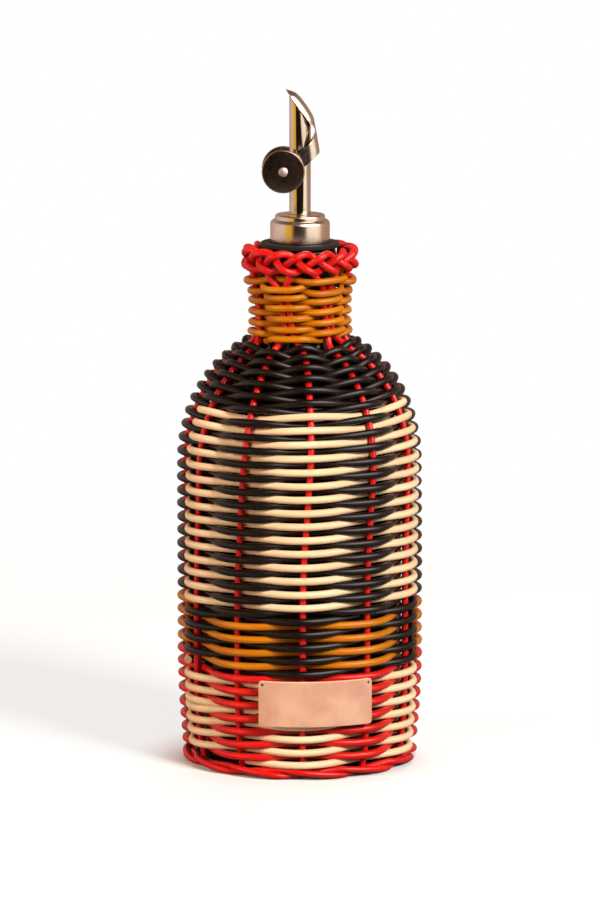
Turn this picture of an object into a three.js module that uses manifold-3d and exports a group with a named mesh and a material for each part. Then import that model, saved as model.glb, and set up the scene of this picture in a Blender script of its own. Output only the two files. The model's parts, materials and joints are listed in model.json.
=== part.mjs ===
// Woven oil pourer: a glass bottle in a sleeve of woven cane, closed by a steel pourer with a weighted
// flap that swings open when the bottle is tipped. Millimetres, +Z up, front towards -Y, and the
// origin on the table under the middle of the bottle.
import * as THREE from 'three';
import { mergeVertices } from 'three/addons/utils/BufferGeometryUtils.js';
import Module from 'manifold-3d';

const wasm = await Module();
wasm.setup();

const deg = Math.PI / 180;

// Cane: one diameter throughout, with the clearances between crossing canes and between rows
const caneDiameter = 2.8;
const caneGap = 0.3;
const rowGap = 0.3;
const caneRadius = caneDiameter / 2;
const crossing = caneDiameter + caneGap;

// Surface that the middles of the upright stakes lie on
const sleeveRadius = 47.6;
const footInset = 1.9;
const footRadius = sleeveRadius - footInset;
const firstRowZ = 9.2;
const fullWidthZ = 45;
const shoulderZ = 128;
const shoulderRise = 54.5;
const neckRadius = 16.6;
const hollowSpread = 5.3;
const hollowHeight = 4.5;
const shoulderTopRadius = neckRadius + hollowSpread;
const neckStartZ = shoulderZ + shoulderRise + hollowHeight;
const neckLength = 10;
const flareStartZ = neckStartZ + neckLength;
const rimFlare = 2.9;
const rimHeight = 11.4;
const rimRadius = neckRadius + rimFlare;
const rimZ = flareStartZ + rimHeight;

// Stakes: upright all round, a little wider apart at the front, leaning on the way up and joining in
// pairs at the neck
const stakeCount = 12;
const stakeStep = (2 * Math.PI) / stakeCount;
const backStakeAngle = 181.5 * deg;
const stakeSplay = 6.5 * deg;
const splayReach = 120 * deg;
const stakeLean = 4.5 * deg;
const leanDrop = 56;
const leanStartZ = shoulderZ - leanDrop;
const leanEndZ = shoulderZ + shoulderRise / 2;
const neckTwist = -18 * deg;
const twistLength = 15;
const twistStartZ = neckStartZ - twistLength;

// Crossings at which each band begins and the last one ends, for the two weavers that chase each other
// up the sleeve, counted from the stake at the back. Colours are joined at the front left or the back.
const evenBands = { natural: -7, black: 77, body: 133, shoulder: 313, end: 385 };
const oddBands = { red: -8, orange: 76, body: 124, shoulder: 304, end: 372 };
const neckTurns = 6;
const endTrim = 0.5;
const neckStep = 1.6;
const pairRows = 3.5;

// Plaited rim: three canes abreast, the whole plait one closed cane
const plaitArcs = 14;
const plaitLeads = 3;
const plaitHalfHeight = 4.1;
const plaitHalfDepth = 2.2;
const plaitOverhang = 1.5;
const plaitRadius = rimRadius + plaitOverhang;

// Twined foot: two canes twisted into a rope
const ropeTwists = 6;
const ropeDepth = 1.7;
const ropePress = 0.4;
const ropeRadius = footRadius + caneRadius;
const ropeLift = 0.3;

// Glass bottle
const glassWall = 2.5;
const neckWall = 2.3;
const glassFloor = 4;
const heelRadius = 4;
const standWidth = 7;
const puntHeight = 6;
const shoulderEnd = 1.3;
const hollowInset = 0.7;
const hollowRise = 2.2;
const lipOverhang = 3.1;
const lipHeight = 9.5;
const lipSlope = 2;
const lipEase = 1;
const lipRise = 9.6;
const lipTopZ = rimZ + lipRise;

// Leather label on the front of the sleeve
const labelWidth = 48;
const labelHeight = 19.2;
const labelThickness = 1.5;
const labelCorner = 1.2;
const labelBottomZ = 23.8;
const labelTurn = 7.5 * deg;

// Stopper that plugs the neck
const fitGap = 0.2;
const seatGap = 0.3;
const flangeOverhang = 1.7;
const flangeThickness = 2;
const stemLength = 27;
const ribCount = 4;
const ribDepth = 1.1;
const ribPitch = 5.6;
const ribRise = 2.2;
const ribLip = 0.5;
const ribStart = 2;
const rubberEase = 0.5;
const bossEase = 1;
const bossHeight = 7.2;
const breatherRadius = 1.2;
const breatherBore = 0.7;
const breatherOffset = 6.7;
const breatherDrop = 13;

// Steel collar and spout
const collarRadius = 12.5;
const collarStepRadius = 10.5;
const collarHeight = 11.4;
const collarStepHeight = 2.2;
const collarWall = 0.9;
const collarRound = 2;
const collarEase = 0.5;
const ventRadius = 0.45;
const spoutRadius = 4.5;
const spoutWall = 0.5;
const spoutHeight = 49.7;
const spoutDepth = 18;
const cutAngle = 54 * deg;

// Flap, its pivot and its weights
const pivotHeight = 21.6;
const pivotRadius = 1.2;
const sheet = 0.8;
const armGap = 0.4;
const tipOverhang = 2.9;
const tipRise = 0.6;
const hoodRise = 3.2;
const hoodRound = 2.5;
const ridgeStart = 1.8;
const ridgeEnd = 0.75;
const lidEdge = 0.5;
const spineStandoff = 3.7;
const spineFoot = 5;
const spineWidth = 1.9;
const armHalfWidth = 3.4;
const weightRadius = 9;
const weightThickness = 2.4;
const weightBevel = 0.5;
const weightReach = 7;
const weightDrop = 2.95;
const rivetRadius = 1.2;
const rivetHeadRadius = 1.9;
const rivetHeadHeight = 0.8;

// Facets round a turn
const turnedSides = 18;
const pinSides = 12;
const breatherSides = 8;
const ventSides = 6;
const caneSides = 4;

const finishes = {
  red: { color: 0xb5121b, roughness: 0.38, metalness: 0 },
  orange: { color: 0xc97a14, roughness: 0.42, metalness: 0 },
  black: { color: 0x1d1512, roughness: 0.42, metalness: 0 },
  natural: { color: 0xe6c593, roughness: 0.5, metalness: 0 },
  glass: { color: 0x1c2412, roughness: 0.06, metalness: 0 },
  leather: { color: 0xd9a98a, roughness: 0.65, metalness: 0 },
  rubber: { color: 0x121212, roughness: 0.6, metalness: 0 },
  steel: { color: 0xc2b6a6, roughness: 0.2, metalness: 1 },
  weight: { color: 0x3a302a, roughness: 0.35, metalness: 1 },
};

function addPiece(group, name, geometry, finish) {
  const mesh = new THREE.Mesh(geometry, new THREE.MeshStandardMaterial(finishes[finish]));
  mesh.name = name;
  group.add(mesh);
  return mesh;
}

// Turns every face outwards, going by the sign of the enclosed volume
function facingOut(geometry) {
  const merged = positionsOnly(geometry);
  const at = merged.getAttribute('position');
  const index = Array.from(merged.index.array);
  const corner = [new THREE.Vector3(), new THREE.Vector3(), new THREE.Vector3()];
  let volume = 0;
  for (let i = 0; i < index.length; i += 3) {
    corner.forEach((point, j) => point.fromBufferAttribute(at, index[i + j]));
    volume += corner[0].dot(corner[1].cross(corner[2]));
  }
  if (volume < 0) index.reverse();
  merged.setIndex(index);
  merged.computeVertexNormals();
  return merged;
}

function positionsOnly(geometry) {
  const bare = geometry.clone();
  bare.deleteAttribute('normal');
  bare.deleteAttribute('uv');
  const merged = mergeVertices(bare, 1e-4);
  const index = Array.from(merged.index.array);
  const kept = [];
  for (let i = 0; i < index.length; i += 3) {
    const [a, b, c] = index.slice(i, i + 3);
    if (a !== b && b !== c && c !== a) kept.push(a, b, c);
  }
  merged.setIndex(kept);
  return merged;
}

function solidOf(geometry) {
  const out = facingOut(geometry);
  const vertProperties = new Float32Array(out.getAttribute('position').array);
  const triVerts = new Uint32Array(out.index.array);
  return new wasm.Manifold(new wasm.Mesh({ numProp: 3, vertProperties, triVerts }));
}

function geometryOf(solid) {
  const mesh = solid.getMesh();
  const geometry = new THREE.BufferGeometry();
  geometry.setAttribute('position', new THREE.BufferAttribute(new Float32Array(mesh.vertProperties), 3));
  geometry.setIndex(Array.from(mesh.triVerts));
  geometry.computeVertexNormals();
  return geometry;
}

// A profile of [radius, height] pairs turned round the Z axis
function turned(profile, sides) {
  const points = profile.map(([radius, height]) => new THREE.Vector2(radius, height));
  return facingOut(new THREE.LatheGeometry(points, sides).rotateX(Math.PI / 2));
}

// A round bar between two points
function bar(from, to, radius, sides = pinSides) {
  const along = to.clone().sub(from);
  const geometry = new THREE.CylinderGeometry(radius, radius, along.length(), sides);
  const up = new THREE.Vector3(0, 1, 0);
  geometry.applyQuaternion(new THREE.Quaternion().setFromUnitVectors(up, along.clone().normalize()));
  const middle = from.clone().add(to).multiplyScalar(0.5);
  return geometry.translate(middle.x, middle.y, middle.z);
}

// An outline in the XZ plane, extruded evenly to both sides of it
function plateAcross(shape, width, round = 0, curveSegments = 4) {
  const settings = { depth: width - 2 * round, bevelEnabled: round > 0, curveSegments };
  if (round > 0) {
    settings.bevelThickness = round;
    settings.bevelSize = round;
    settings.bevelOffset = -round;
    settings.bevelSegments = 2;
  }
  const geometry = new THREE.ExtrudeGeometry(shape, settings);
  return geometry.translate(0, 0, round - width / 2).rotateX(Math.PI / 2);
}

function arcPoints(centre, radii, from, to, steps) {
  const points = [];
  for (let i = 0; i <= steps; i++) {
    const angle = from + ((to - from) * i) / steps;
    points.push([centre[0] + radii[0] * Math.cos(angle), centre[1] + radii[1] * Math.sin(angle)]);
  }
  return points;
}

// A cane as a run of stations, each with its middle and two half-widths square to the run
function cane(stations, closed = false) {
  const positions = [];
  for (const { middle, across, up } of stations) {
    for (let i = 0; i < caneSides; i++) {
      const turn = (2 * Math.PI * i) / caneSides;
      const point = middle.clone();
      point.addScaledVector(across, Math.cos(turn));
      point.addScaledVector(up, Math.sin(turn));
      positions.push(point.x, point.y, point.z);
    }
  }
  const count = stations.length;
  const index = [];
  for (let j = 0; j < (closed ? count : count - 1); j++) {
    const a = j * caneSides;
    const b = ((j + 1) % count) * caneSides;
    for (let i = 0; i < caneSides; i++) {
      const n = (i + 1) % caneSides;
      index.push(a + i, b + i, b + n, a + i, b + n, a + n);
    }
  }
  const last = (count - 1) * caneSides;
  for (let i = 1; i < caneSides - 1 && !closed; i++) {
    index.push(0, i, i + 1, last, last + i + 1, last + i);
  }
  const geometry = new THREE.BufferGeometry();
  geometry.setAttribute('position', new THREE.Float32BufferAttribute(positions, 3));
  geometry.setIndex(index);
  return facingOut(geometry);
}

const smooth = (value, from, to) => THREE.MathUtils.smoothstep(value, from, to);
const outward = (angle) => new THREE.Vector3(Math.sin(angle), -Math.cos(angle), 0);
const sideways = (angle) => new THREE.Vector3(Math.cos(angle), Math.sin(angle), 0);
const upward = new THREE.Vector3(0, 0, 1);

// The meridian of the stakes: body, elliptical shoulder, a hollow curve into the neck, and the rim
const shoulderSweep = Math.acos(shoulderTopRadius / sleeveRadius);
const shoulderTopZ = shoulderZ + shoulderRise * Math.sin(shoulderSweep);
const slide = (shoulderTopRadius - neckRadius) / (sleeveRadius * Math.sin(shoulderSweep));
const hollowZ = shoulderTopZ + slide * shoulderRise * Math.cos(shoulderSweep);
const toShoulder = new THREE.Path();
toShoulder.moveTo(footRadius, firstRowZ);
toShoulder.quadraticCurveTo(sleeveRadius, (firstRowZ + fullWidthZ) / 2, sleeveRadius, fullWidthZ);
toShoulder.lineTo(sleeveRadius, shoulderZ);
toShoulder.absellipse(0, shoulderZ, sleeveRadius, shoulderRise, 0, shoulderSweep);
const toRim = new THREE.Path();
toRim.moveTo(shoulderTopRadius, shoulderTopZ);
toRim.quadraticCurveTo(neckRadius, hollowZ, neckRadius, neckStartZ);
toRim.lineTo(neckRadius, flareStartZ);
const flareMiddleZ = (flareStartZ + rimZ) / 2;
toRim.bezierCurveTo(neckRadius, flareMiddleZ, rimRadius, flareMiddleZ, rimRadius, rimZ);
const shoulderLength = toShoulder.getLength();
const rimLength = shoulderLength + toRim.getLength();

// The meridian's point at a length from the first row, running on straight past both ends
function onSleeve(length) {
  if (length < 0) return new THREE.Vector2(footRadius, firstRowZ + length);
  if (length < shoulderLength) return toShoulder.getPoint(length / shoulderLength);
  return toRim.getPoint(Math.min((length - shoulderLength) / (rimLength - shoulderLength), 1));
}

// Place, outward normal and upward tangent of the sleeve at a length and an angle
function sleeveFrame(length, angle) {
  const step = 0.2;
  const before = onSleeve(length - step);
  const after = onSleeve(Math.min(length + step, rimLength));
  const slope = after.sub(before).normalize();
  const point = onSleeve(length);
  return {
    radius: point.x,
    middle: outward(angle).multiplyScalar(point.x).setZ(point.y),
    normal: outward(angle).multiplyScalar(slope.y).setZ(-slope.x),
    rise: outward(angle).multiplyScalar(slope.x).setZ(slope.y),
  };
}

// Rows: a weaver climbs two rows in a turn, so the two weavers lie a row apart
const rowsToShoulder = (2 * (evenBands.end - 1)) / stakeCount;
const rowPitch = shoulderLength / (rowsToShoulder - 1);
const blackEnd = rowPitch * rowsToShoulder;
const neckStart = blackEnd + neckStep;
const neckRows = 2 * neckTurns;
const neckPitch = (rimLength - caneRadius - neckStart) / (neckRows + 1);
const pairStart = blackEnd - rowPitch;
const pairEnd = pairStart + pairRows * rowPitch;

// Half the angle between the two stakes of a pair, closing up at the neck
const closing = (length) => smooth(length, pairStart, pairEnd);
function halfPairAngle(length) {
  const closed = Math.asin(crossing / 2 / neckRadius);
  return THREE.MathUtils.lerp(stakeStep / 2, closed, closing(length));
}

function pairAngle(pair, length) {
  const height = onSleeve(length).y;
  const lean = stakeLean * smooth(height, leanStartZ, leanEndZ);
  const twist = neckTwist * THREE.MathUtils.clamp((height - twistStartZ) / (rimZ - twistStartZ), 0, 1);
  return backStakeAngle + (2 * pair + 1.5) * stakeStep + lean + twist;
}

// How far a stake stands off its even place, none at the back and none once it has joined its pair
function splay(stake, length) {
  const fromFront = (stake - stakeCount / 2) * stakeStep;
  if (Math.abs(fromFront) >= splayReach) return 0;
  return stakeSplay * Math.sin((180 * deg * fromFront) / splayReach) * (1 - closing(length));
}

// Odd stakes lead their pair and even stakes follow, so stake 0 closes the last pair
function stakeAngle(number, length) {
  const stake = THREE.MathUtils.euclideanModulo(number, stakeCount);
  const pair = Math.ceil(stake / 2) - 1;
  const side = stake % 2 === 1 ? -1 : 1;
  return pairAngle(pair, length) + side * halfPairAngle(length) + splay(stake, length);
}

function stake(number) {
  const bottom = -(firstRowZ - ropeTop - caneGap);
  const lengths = [bottom];
  const straight = [fullWidthZ - firstRowZ, leanStartZ - firstRowZ, shoulderZ - firstRowZ];
  lengths.push(straight[0] / 2, ...straight);
  const shoulderSteps = 6;
  for (let i = 1; i <= shoulderSteps; i++) {
    lengths.push(THREE.MathUtils.lerp(straight[2], shoulderLength, i / shoulderSteps));
  }
  const hollowLength = toRim.getCurveLengths()[0];
  const hollowSteps = 5;
  for (let i = 1; i <= hollowSteps; i++) {
    lengths.push(shoulderLength + (hollowLength * i) / hollowSteps);
  }
  const flareLength = shoulderLength + toRim.getCurveLengths()[1];
  const flareSteps = 3;
  for (let i = 0; i <= flareSteps; i++) {
    lengths.push(THREE.MathUtils.lerp(flareLength, rimLength, i / flareSteps));
  }
  return cane(lengths.map((length) => {
    const angle = stakeAngle(number, length);
    const { middle, normal } = sleeveFrame(length, angle);
    const across = normal.multiplyScalar(caneRadius);
    return { middle, across, up: sideways(angle).multiplyScalar(caneRadius) };
  }));
}

// One crossing of a weaver: outside its stake when side is 1, inside when side is -1
function weaverStation(length, angle, side, halfHeight, spread = 0) {
  const { middle, normal, rise } = sleeveFrame(length, angle);
  middle.addScaledVector(normal, side * crossing);
  const stretch = 1 / Math.cos(spread);
  middle.x *= stretch;
  middle.y *= stretch;
  return { middle, across: normal.multiplyScalar(caneRadius), up: rise.multiplyScalar(halfHeight) };
}

// Pulls the first and last stations back a little, so that canes laid end to end don't touch
function trimmed(stations) {
  const pull = (end, next) => {
    const shift = next.middle.clone().sub(end.middle).setLength(endTrim);
    end.middle.add(shift);
  };
  pull(stations[0], stations[1]);
  pull(stations.at(-1), stations.at(-2));
  return stations;
}

// A band of one weaver over single stakes. Even weavers pass outside even stakes and odd weavers
// outside odd ones, and both are joined behind a stake.
function bandWeaver(parity, first, last) {
  const stations = [];
  const halfHeight = (rowPitch - rowGap) / 2;
  for (let i = first; i <= last; i++) {
    const length = rowPitch * ((2 * i) / stakeCount + parity);
    const side = Math.abs(i % 2) === parity ? 1 : -1;
    stations.push(weaverStation(length, stakeAngle(i, length), side, halfHeight));
  }
  return cane(trimmed(stations));
}

// The neck's weavers pass over and under pairs, running flat across each pair
function neckWeaver(parity, turns) {
  const stations = [];
  const pairs = stakeCount / 2;
  const halfHeight = (neckPitch - rowGap) / 2;
  for (let i = parity; i < turns * pairs + parity; i++) {
    const side = i % 2 === parity ? -1 : 1;
    for (const edge of [-1, 1]) {
      const row = (2 * (i + edge / 4)) / pairs + (1 - parity);
      const length = neckStart + neckPitch * Math.max(row, 0);
      const spread = halfPairAngle(length) + Math.asin((caneRadius + caneGap) / neckRadius);
      const angle = pairAngle(i, length) + edge * spread;
      stations.push(weaverStation(length, angle, side, halfHeight, spread));
    }
  }
  return cane(trimmed(stations));
}

// The plait: every cane swings up and down once while it dips in and out twice. Its lowest bends
// stand on the stakes at the back and at the front.
function rimPlait() {
  const perSwing = 6;
  const start = stakeAngle(0, rimLength);
  const middleZ = rimZ + caneGap + caneRadius + plaitHalfHeight;
  const points = [];
  for (let i = 0; i < plaitArcs * perSwing; i++) {
    const phase = (2 * Math.PI * (i + 0.5)) / perSwing;
    const angle = start + (2 * Math.PI * plaitLeads * i) / (plaitArcs * perSwing);
    const radius = plaitRadius + plaitHalfDepth * Math.sin(2 * phase);
    const height = middleZ + plaitHalfHeight * Math.sin(phase);
    points.push({ angle, middle: outward(angle).multiplyScalar(radius).setZ(height) });
  }
  return cane(points.map(({ angle, middle }, i) => {
    const run = points[(i + 1) % points.length].middle.clone();
    run.sub(points.at(i - 1).middle).normalize();
    const up = run.clone().cross(outward(angle)).normalize();
    const across = up.clone().cross(run).multiplyScalar(caneRadius);
    return { middle, across, up: up.multiplyScalar(caneRadius) };
  }), true);
}

// Half the height of the foot rope, whose two strands are pressed flatter where they cross
const ropeCrossing = caneRadius - ropePress + caneGap / 2;
const ropeHalfHeight = 2 * (caneRadius - ropePress) + caneGap / 2;
const ropeTop = ropeLift + 2 * ropeHalfHeight;

// One of the two strands of the foot rope, winding down to the right as seen from outside. One
// strand lies on the other under every stake, so that the stakes stand on the rope.
function ropeStrand(side) {
  const steps = ropeTwists * 6;
  const stations = [];
  for (let i = 0; i < steps; i++) {
    const round = (2 * Math.PI * i) / steps;
    const angle = backStakeAngle + round;
    const wind = ropeTwists * round + side * 90 * deg;
    const radius = ropeRadius + ropeDepth * Math.cos(wind);
    const height = ropeLift + ropeHalfHeight - ropeCrossing * Math.sin(wind);
    const middle = outward(angle).multiplyScalar(radius).setZ(height);
    const up = upward.clone().multiplyScalar(caneRadius - ropePress * Math.sin(wind) ** 2);
    stations.push({ middle, across: outward(angle).multiplyScalar(caneRadius), up });
  }
  return cane(stations, true);
}

// Bottle sizes that follow from the sleeve it stands in
const sleeveDepth = crossing + caneRadius + caneGap;
const glassRadius = sleeveRadius - sleeveDepth;
const glassFootRadius = footRadius - sleeveDepth;
const glassRise = shoulderRise - sleeveDepth;
const glassNeckRadius = neckRadius - sleeveDepth;
const neckBore = glassNeckRadius - neckWall;
const lipRadius = glassNeckRadius + lipOverhang;
const flangeRadius = lipRadius + flangeOverhang;

// A wall of the bottle from its foot up its side, over the shoulder and through a hollow into the neck
function bottleWall(foot, radius, rise, neck) {
  const steps = 4;
  const side = new THREE.QuadraticBezierCurve(
    new THREE.Vector2(foot, firstRowZ),
    new THREE.Vector2(radius, (firstRowZ + fullWidthZ) / 2),
    new THREE.Vector2(radius, fullWidthZ),
  ).getPoints(2).map(({ x, y }) => [x, y]);
  const top = Math.acos((neck * shoulderEnd) / radius);
  const shoulder = arcPoints([0, shoulderZ], [radius, rise], 0, top, steps);
  const [topRadius, topZ] = shoulder.at(-1);
  const hollowRadius = THREE.MathUtils.lerp(topRadius, neck, hollowInset);
  return [...side, ...shoulder, [hollowRadius, topZ + hollowRise], [neck, neckStartZ]];
}

function bottle() {
  const standRadius = glassFootRadius - heelRadius;
  const lipStartZ = lipTopZ - lipHeight;
  const floorZ = puntHeight + glassFloor;
  const outer = [
    ...arcPoints([0, 0], [standRadius - standWidth, puntHeight], 90 * deg, 0, 2),
    ...arcPoints([standRadius, heelRadius], [heelRadius, heelRadius], -90 * deg, 0, 2),
    ...bottleWall(glassFootRadius, glassRadius, glassRise, glassNeckRadius),
    [glassNeckRadius, lipStartZ - lipSlope],
    [lipRadius, lipStartZ],
    [lipRadius, lipTopZ - lipEase],
    [lipRadius - lipEase, lipTopZ],
  ];
  const innerFoot = glassFootRadius - glassWall;
  const innerHeel = [innerFoot - heelRadius, floorZ + heelRadius];
  const innerWall = bottleWall(innerFoot, glassRadius - glassWall, glassRise - glassWall, neckBore);
  const inner = [
    ...arcPoints(innerHeel, [heelRadius, heelRadius], -90 * deg, 0, 2),
    ...innerWall.filter(([, height]) => height > floorZ + heelRadius),
    [neckBore, lipTopZ],
  ];
  return turned([...outer, ...inner.reverse(), [0, floorZ]], turnedSides);
}

function label() {
  const weaveReach = sleeveRadius + crossing + caneRadius;
  const innerRadius = weaveReach + caneGap;
  const outerRadius = innerRadius + labelThickness;
  const halfAngle = labelWidth / 2 / innerRadius;
  const front = -90 * deg;
  const ring = new THREE.Shape();
  const margin = 0.1;
  ring.absarc(0, 0, outerRadius, front - halfAngle - margin, front + halfAngle + margin, false);
  ring.absarc(0, 0, innerRadius, front + halfAngle + margin, front - halfAngle - margin, true);
  const stripSettings = { depth: labelHeight, bevelEnabled: false, curveSegments: 8 };
  const strip = new THREE.ExtrudeGeometry(ring, stripSettings);
  const halfSpan = innerRadius * Math.sin(halfAngle);
  const outline = new THREE.Shape();
  outline.moveTo(-halfSpan + labelCorner, 0);
  outline.lineTo(halfSpan - labelCorner, 0);
  outline.absarc(halfSpan - labelCorner, labelCorner, labelCorner, -90 * deg, 0);
  outline.lineTo(halfSpan, labelHeight - labelCorner);
  outline.absarc(halfSpan - labelCorner, labelHeight - labelCorner, labelCorner, 0, 90 * deg);
  outline.lineTo(-halfSpan + labelCorner, labelHeight);
  outline.absarc(-halfSpan + labelCorner, labelHeight - labelCorner, labelCorner, 90 * deg, 180 * deg);
  outline.lineTo(-halfSpan, labelCorner);
  outline.absarc(-halfSpan + labelCorner, labelCorner, labelCorner, 180 * deg, 270 * deg);
  const cutterSettings = { depth: outerRadius, bevelEnabled: false, curveSegments: 3 };
  const cutter = new THREE.ExtrudeGeometry(outline, cutterSettings).rotateX(Math.PI / 2);
  return geometryOf(solidOf(strip).intersect(solidOf(cutter)));
}

// Heights in the pourer's own frame, which starts under the stopper's flange
const collarBase = flangeThickness + seatGap;
const collarTop = collarBase + collarHeight;
const pivotZ = collarTop + pivotHeight;
const channelRadius = spoutRadius + seatGap;
const ribRadius = neckBore - fitGap;
const stemRadius = ribRadius - ribDepth;

function stopper() {
  const bossRadius = collarRadius - collarWall - seatGap;
  const profile = [
    [channelRadius, -stemLength],
    [stemRadius - rubberEase, -stemLength],
    [stemRadius, -stemLength + rubberEase],
  ];
  for (let i = 0; i < ribCount; i++) {
    const base = -stemLength + ribStart + i * ribPitch;
    profile.push([stemRadius, base]);
    profile.push([ribRadius, base + ribRise]);
    profile.push([stemRadius, base + ribRise + ribLip]);
  }
  profile.push(
    [stemRadius, 0],
    [flangeRadius - rubberEase, 0],
    [flangeRadius, rubberEase],
    [flangeRadius, flangeThickness - rubberEase],
    [flangeRadius - rubberEase, flangeThickness],
    [bossRadius, flangeThickness],
    [bossRadius, collarBase + bossHeight - bossEase],
    [bossRadius - bossEase, collarBase + bossHeight],
    [channelRadius, collarBase + bossHeight],
    [channelRadius, -stemLength],
  );
  const hole = bar(
    new THREE.Vector3(0, breatherOffset, -2 * stemLength),
    new THREE.Vector3(0, breatherOffset, collarTop),
    breatherRadius + seatGap / 2,
    breatherSides,
  );
  return geometryOf(solidOf(turned(profile, turnedSides)).subtract(solidOf(hole)));
}

function collar() {
  const stepZ = collarTop - collarStepHeight;
  const roundRadius = collarRadius - collarRound;
  const profile = [
    [collarRadius, collarBase],
    ...arcPoints([roundRadius, stepZ - collarRound], [collarRound, collarRound], 0, 90 * deg, 2),
    [collarStepRadius, stepZ],
    [collarStepRadius, collarTop - collarEase],
    [collarStepRadius - collarEase, collarTop],
    [channelRadius, collarTop],
    [channelRadius, collarTop - collarWall],
    [collarStepRadius - collarWall, collarTop - collarWall],
    [collarStepRadius - collarWall, stepZ - collarWall],
    [collarRadius - collarWall, stepZ - collarWall - collarEase],
    [collarRadius - collarWall, collarBase],
    [collarRadius, collarBase],
  ];
  const ventZ = collarTop - collarWall - ventRadius;
  const vent = bar(
    new THREE.Vector3(0, (channelRadius + collarStepRadius) / 2, ventZ),
    new THREE.Vector3(0, collarRadius, ventZ),
    ventRadius,
    ventSides,
  );
  return geometryOf(solidOf(turned(profile, turnedSides)).subtract(solidOf(vent)));
}

function pipe(outer, inner, bottom, top, sides) {
  return turned([[outer, bottom], [outer, top], [inner, top], [inner, bottom], [outer, bottom]], sides);
}

// A point by its distance down the spout's slanted cut and its distance off it, seen from the front
function onCut(along, off) {
  const cutTop = spoutHeight - pivotHeight;
  const x = -spoutRadius + along * Math.cos(cutAngle) + off * Math.sin(cutAngle);
  return new THREE.Vector2(x, cutTop - along * Math.sin(cutAngle) + off * Math.cos(cutAngle));
}

const cutLength = (2 * spoutRadius) / Math.cos(cutAngle);
const spineX = spoutRadius + spineStandoff;

function spout() {
  const bottom = collarTop - spoutDepth;
  const tube = pipe(spoutRadius, spoutRadius - spoutWall, bottom, collarTop + spoutHeight, turnedSides);
  const beyond = 4 * spoutRadius;
  const corners = [
    onCut(-beyond, 0),
    onCut(cutLength + beyond, 0),
    onCut(cutLength + beyond, beyond),
    onCut(-beyond, beyond),
  ];
  const above = plateAcross(new THREE.Shape(corners), beyond).translate(0, 0, pivotZ);
  const pinHole = bar(
    new THREE.Vector3(0, -beyond, pivotZ),
    new THREE.Vector3(0, beyond, pivotZ),
    pivotRadius + seatGap,
  );
  return geometryOf(solidOf(tube).subtract(solidOf(above)).subtract(solidOf(pinHole)));
}

// The flap's sizes across, in its own frame round the pivot
const armInner = spoutRadius + armGap;
const armOuter = armInner + sheet;
const rivetSpot = new THREE.Vector2(-weightReach, -weightDrop);

// The hood's ridge from beyond the tip down to the foot of the spine, drawn in by an inset
function hoodOutline(inset) {
  const ridge = [
    onCut(-3 * tipOverhang, tipRise - hoodRise - inset),
    onCut(-tipOverhang, tipRise - inset),
    onCut(ridgeStart, hoodRise - inset),
    onCut(cutLength * ridgeEnd, hoodRise - inset),
    new THREE.Vector2((spoutRadius + spineX) / 2 - inset, onCut(cutLength, 0).y),
    new THREE.Vector2(spineX - inset, spineFoot),
    new THREE.Vector2(spineX - inset, -weightRadius),
  ];
  const shape = new THREE.Shape();
  shape.moveTo(ridge[0].x, ridge[0].y);
  shape.splineThru(ridge.slice(1, 6));
  shape.lineTo(ridge[6].x, ridge[6].y);
  shape.lineTo(-2 * weightRadius, -weightRadius);
  shape.lineTo(-2 * weightRadius, ridge[0].y);
  return shape;
}

// The flap seen from the front: the lid over the cut, the spine, and the arm to the weights
function flapOutline() {
  const beyond = spineX + armOuter;
  const tip = onCut(-tipOverhang, lidEdge);
  const tipTop = onCut(-tipOverhang, tipRise + hoodRise);
  const ridge = onCut(cutLength * ridgeEnd, 2 * hoodRise);
  const lidEnd = onCut(cutLength - sheet, lidEdge);
  const notchX = spineX - spineWidth;
  const notchZ = (lidEnd.y + spineFoot) / 2 + spineWidth;
  const shape = new THREE.Shape();
  shape.moveTo(tip.x, tip.y);
  shape.lineTo(tipTop.x, tipTop.y);
  shape.lineTo(ridge.x, ridge.y);
  shape.lineTo(beyond, spineFoot + armHalfWidth);
  shape.lineTo(beyond, spineFoot);
  shape.lineTo(spineX, spineFoot - lidEdge);
  shape.quadraticCurveTo(armHalfWidth, 0, 0, sheet - armHalfWidth);
  shape.lineTo(rivetSpot.x, rivetSpot.y - armHalfWidth);
  shape.absarc(rivetSpot.x, rivetSpot.y, armHalfWidth, -90 * deg, -270 * deg, true);
  shape.lineTo(-pivotRadius, spineFoot);
  shape.quadraticCurveTo(spoutRadius, spineFoot + spineWidth, notchX, notchZ);
  shape.quadraticCurveTo(notchX, lidEnd.y - sheet, lidEnd.x, lidEnd.y);
  return shape;
}

function flap() {
  const outer = solidOf(plateAcross(hoodOutline(0), 2 * armOuter, hoodRound, 2));
  const inner = solidOf(plateAcross(hoodOutline(sheet), 2 * armInner, hoodRound - sheet, 2));
  const outline = solidOf(plateAcross(flapOutline(), 4 * armOuter));
  let solid = outer.subtract(inner).intersect(outline);
  for (const side of [-1, 1]) {
    const from = new THREE.Vector3(0, side * (spoutRadius - spoutWall), 0);
    const to = new THREE.Vector3(0, side * (armInner + sheet / 2), 0);
    solid = solid.add(solidOf(bar(from, to, pivotRadius)));
  }
  const hole = bar(
    new THREE.Vector3(rivetSpot.x, -2 * armOuter, rivetSpot.y),
    new THREE.Vector3(rivetSpot.x, 2 * armOuter, rivetSpot.y),
    rivetRadius + seatGap,
  );
  return geometryOf(solid.subtract(solidOf(hole)));
}

const weightInner = armOuter + seatGap;
const weightOuter = weightInner + weightThickness;

// A weight is a plain disc with eased edges and a hole for the rivet
function weight() {
  const hole = rivetRadius + seatGap;
  const half = weightThickness / 2;
  const profile = [
    [hole, -half],
    [weightRadius - weightBevel, -half],
    [weightRadius, -half + weightBevel],
    [weightRadius, half - weightBevel],
    [weightRadius - weightBevel, half],
    [hole, half],
    [hole, -half],
  ];
  return turned(profile, turnedSides).rotateX(Math.PI / 2);
}

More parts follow.
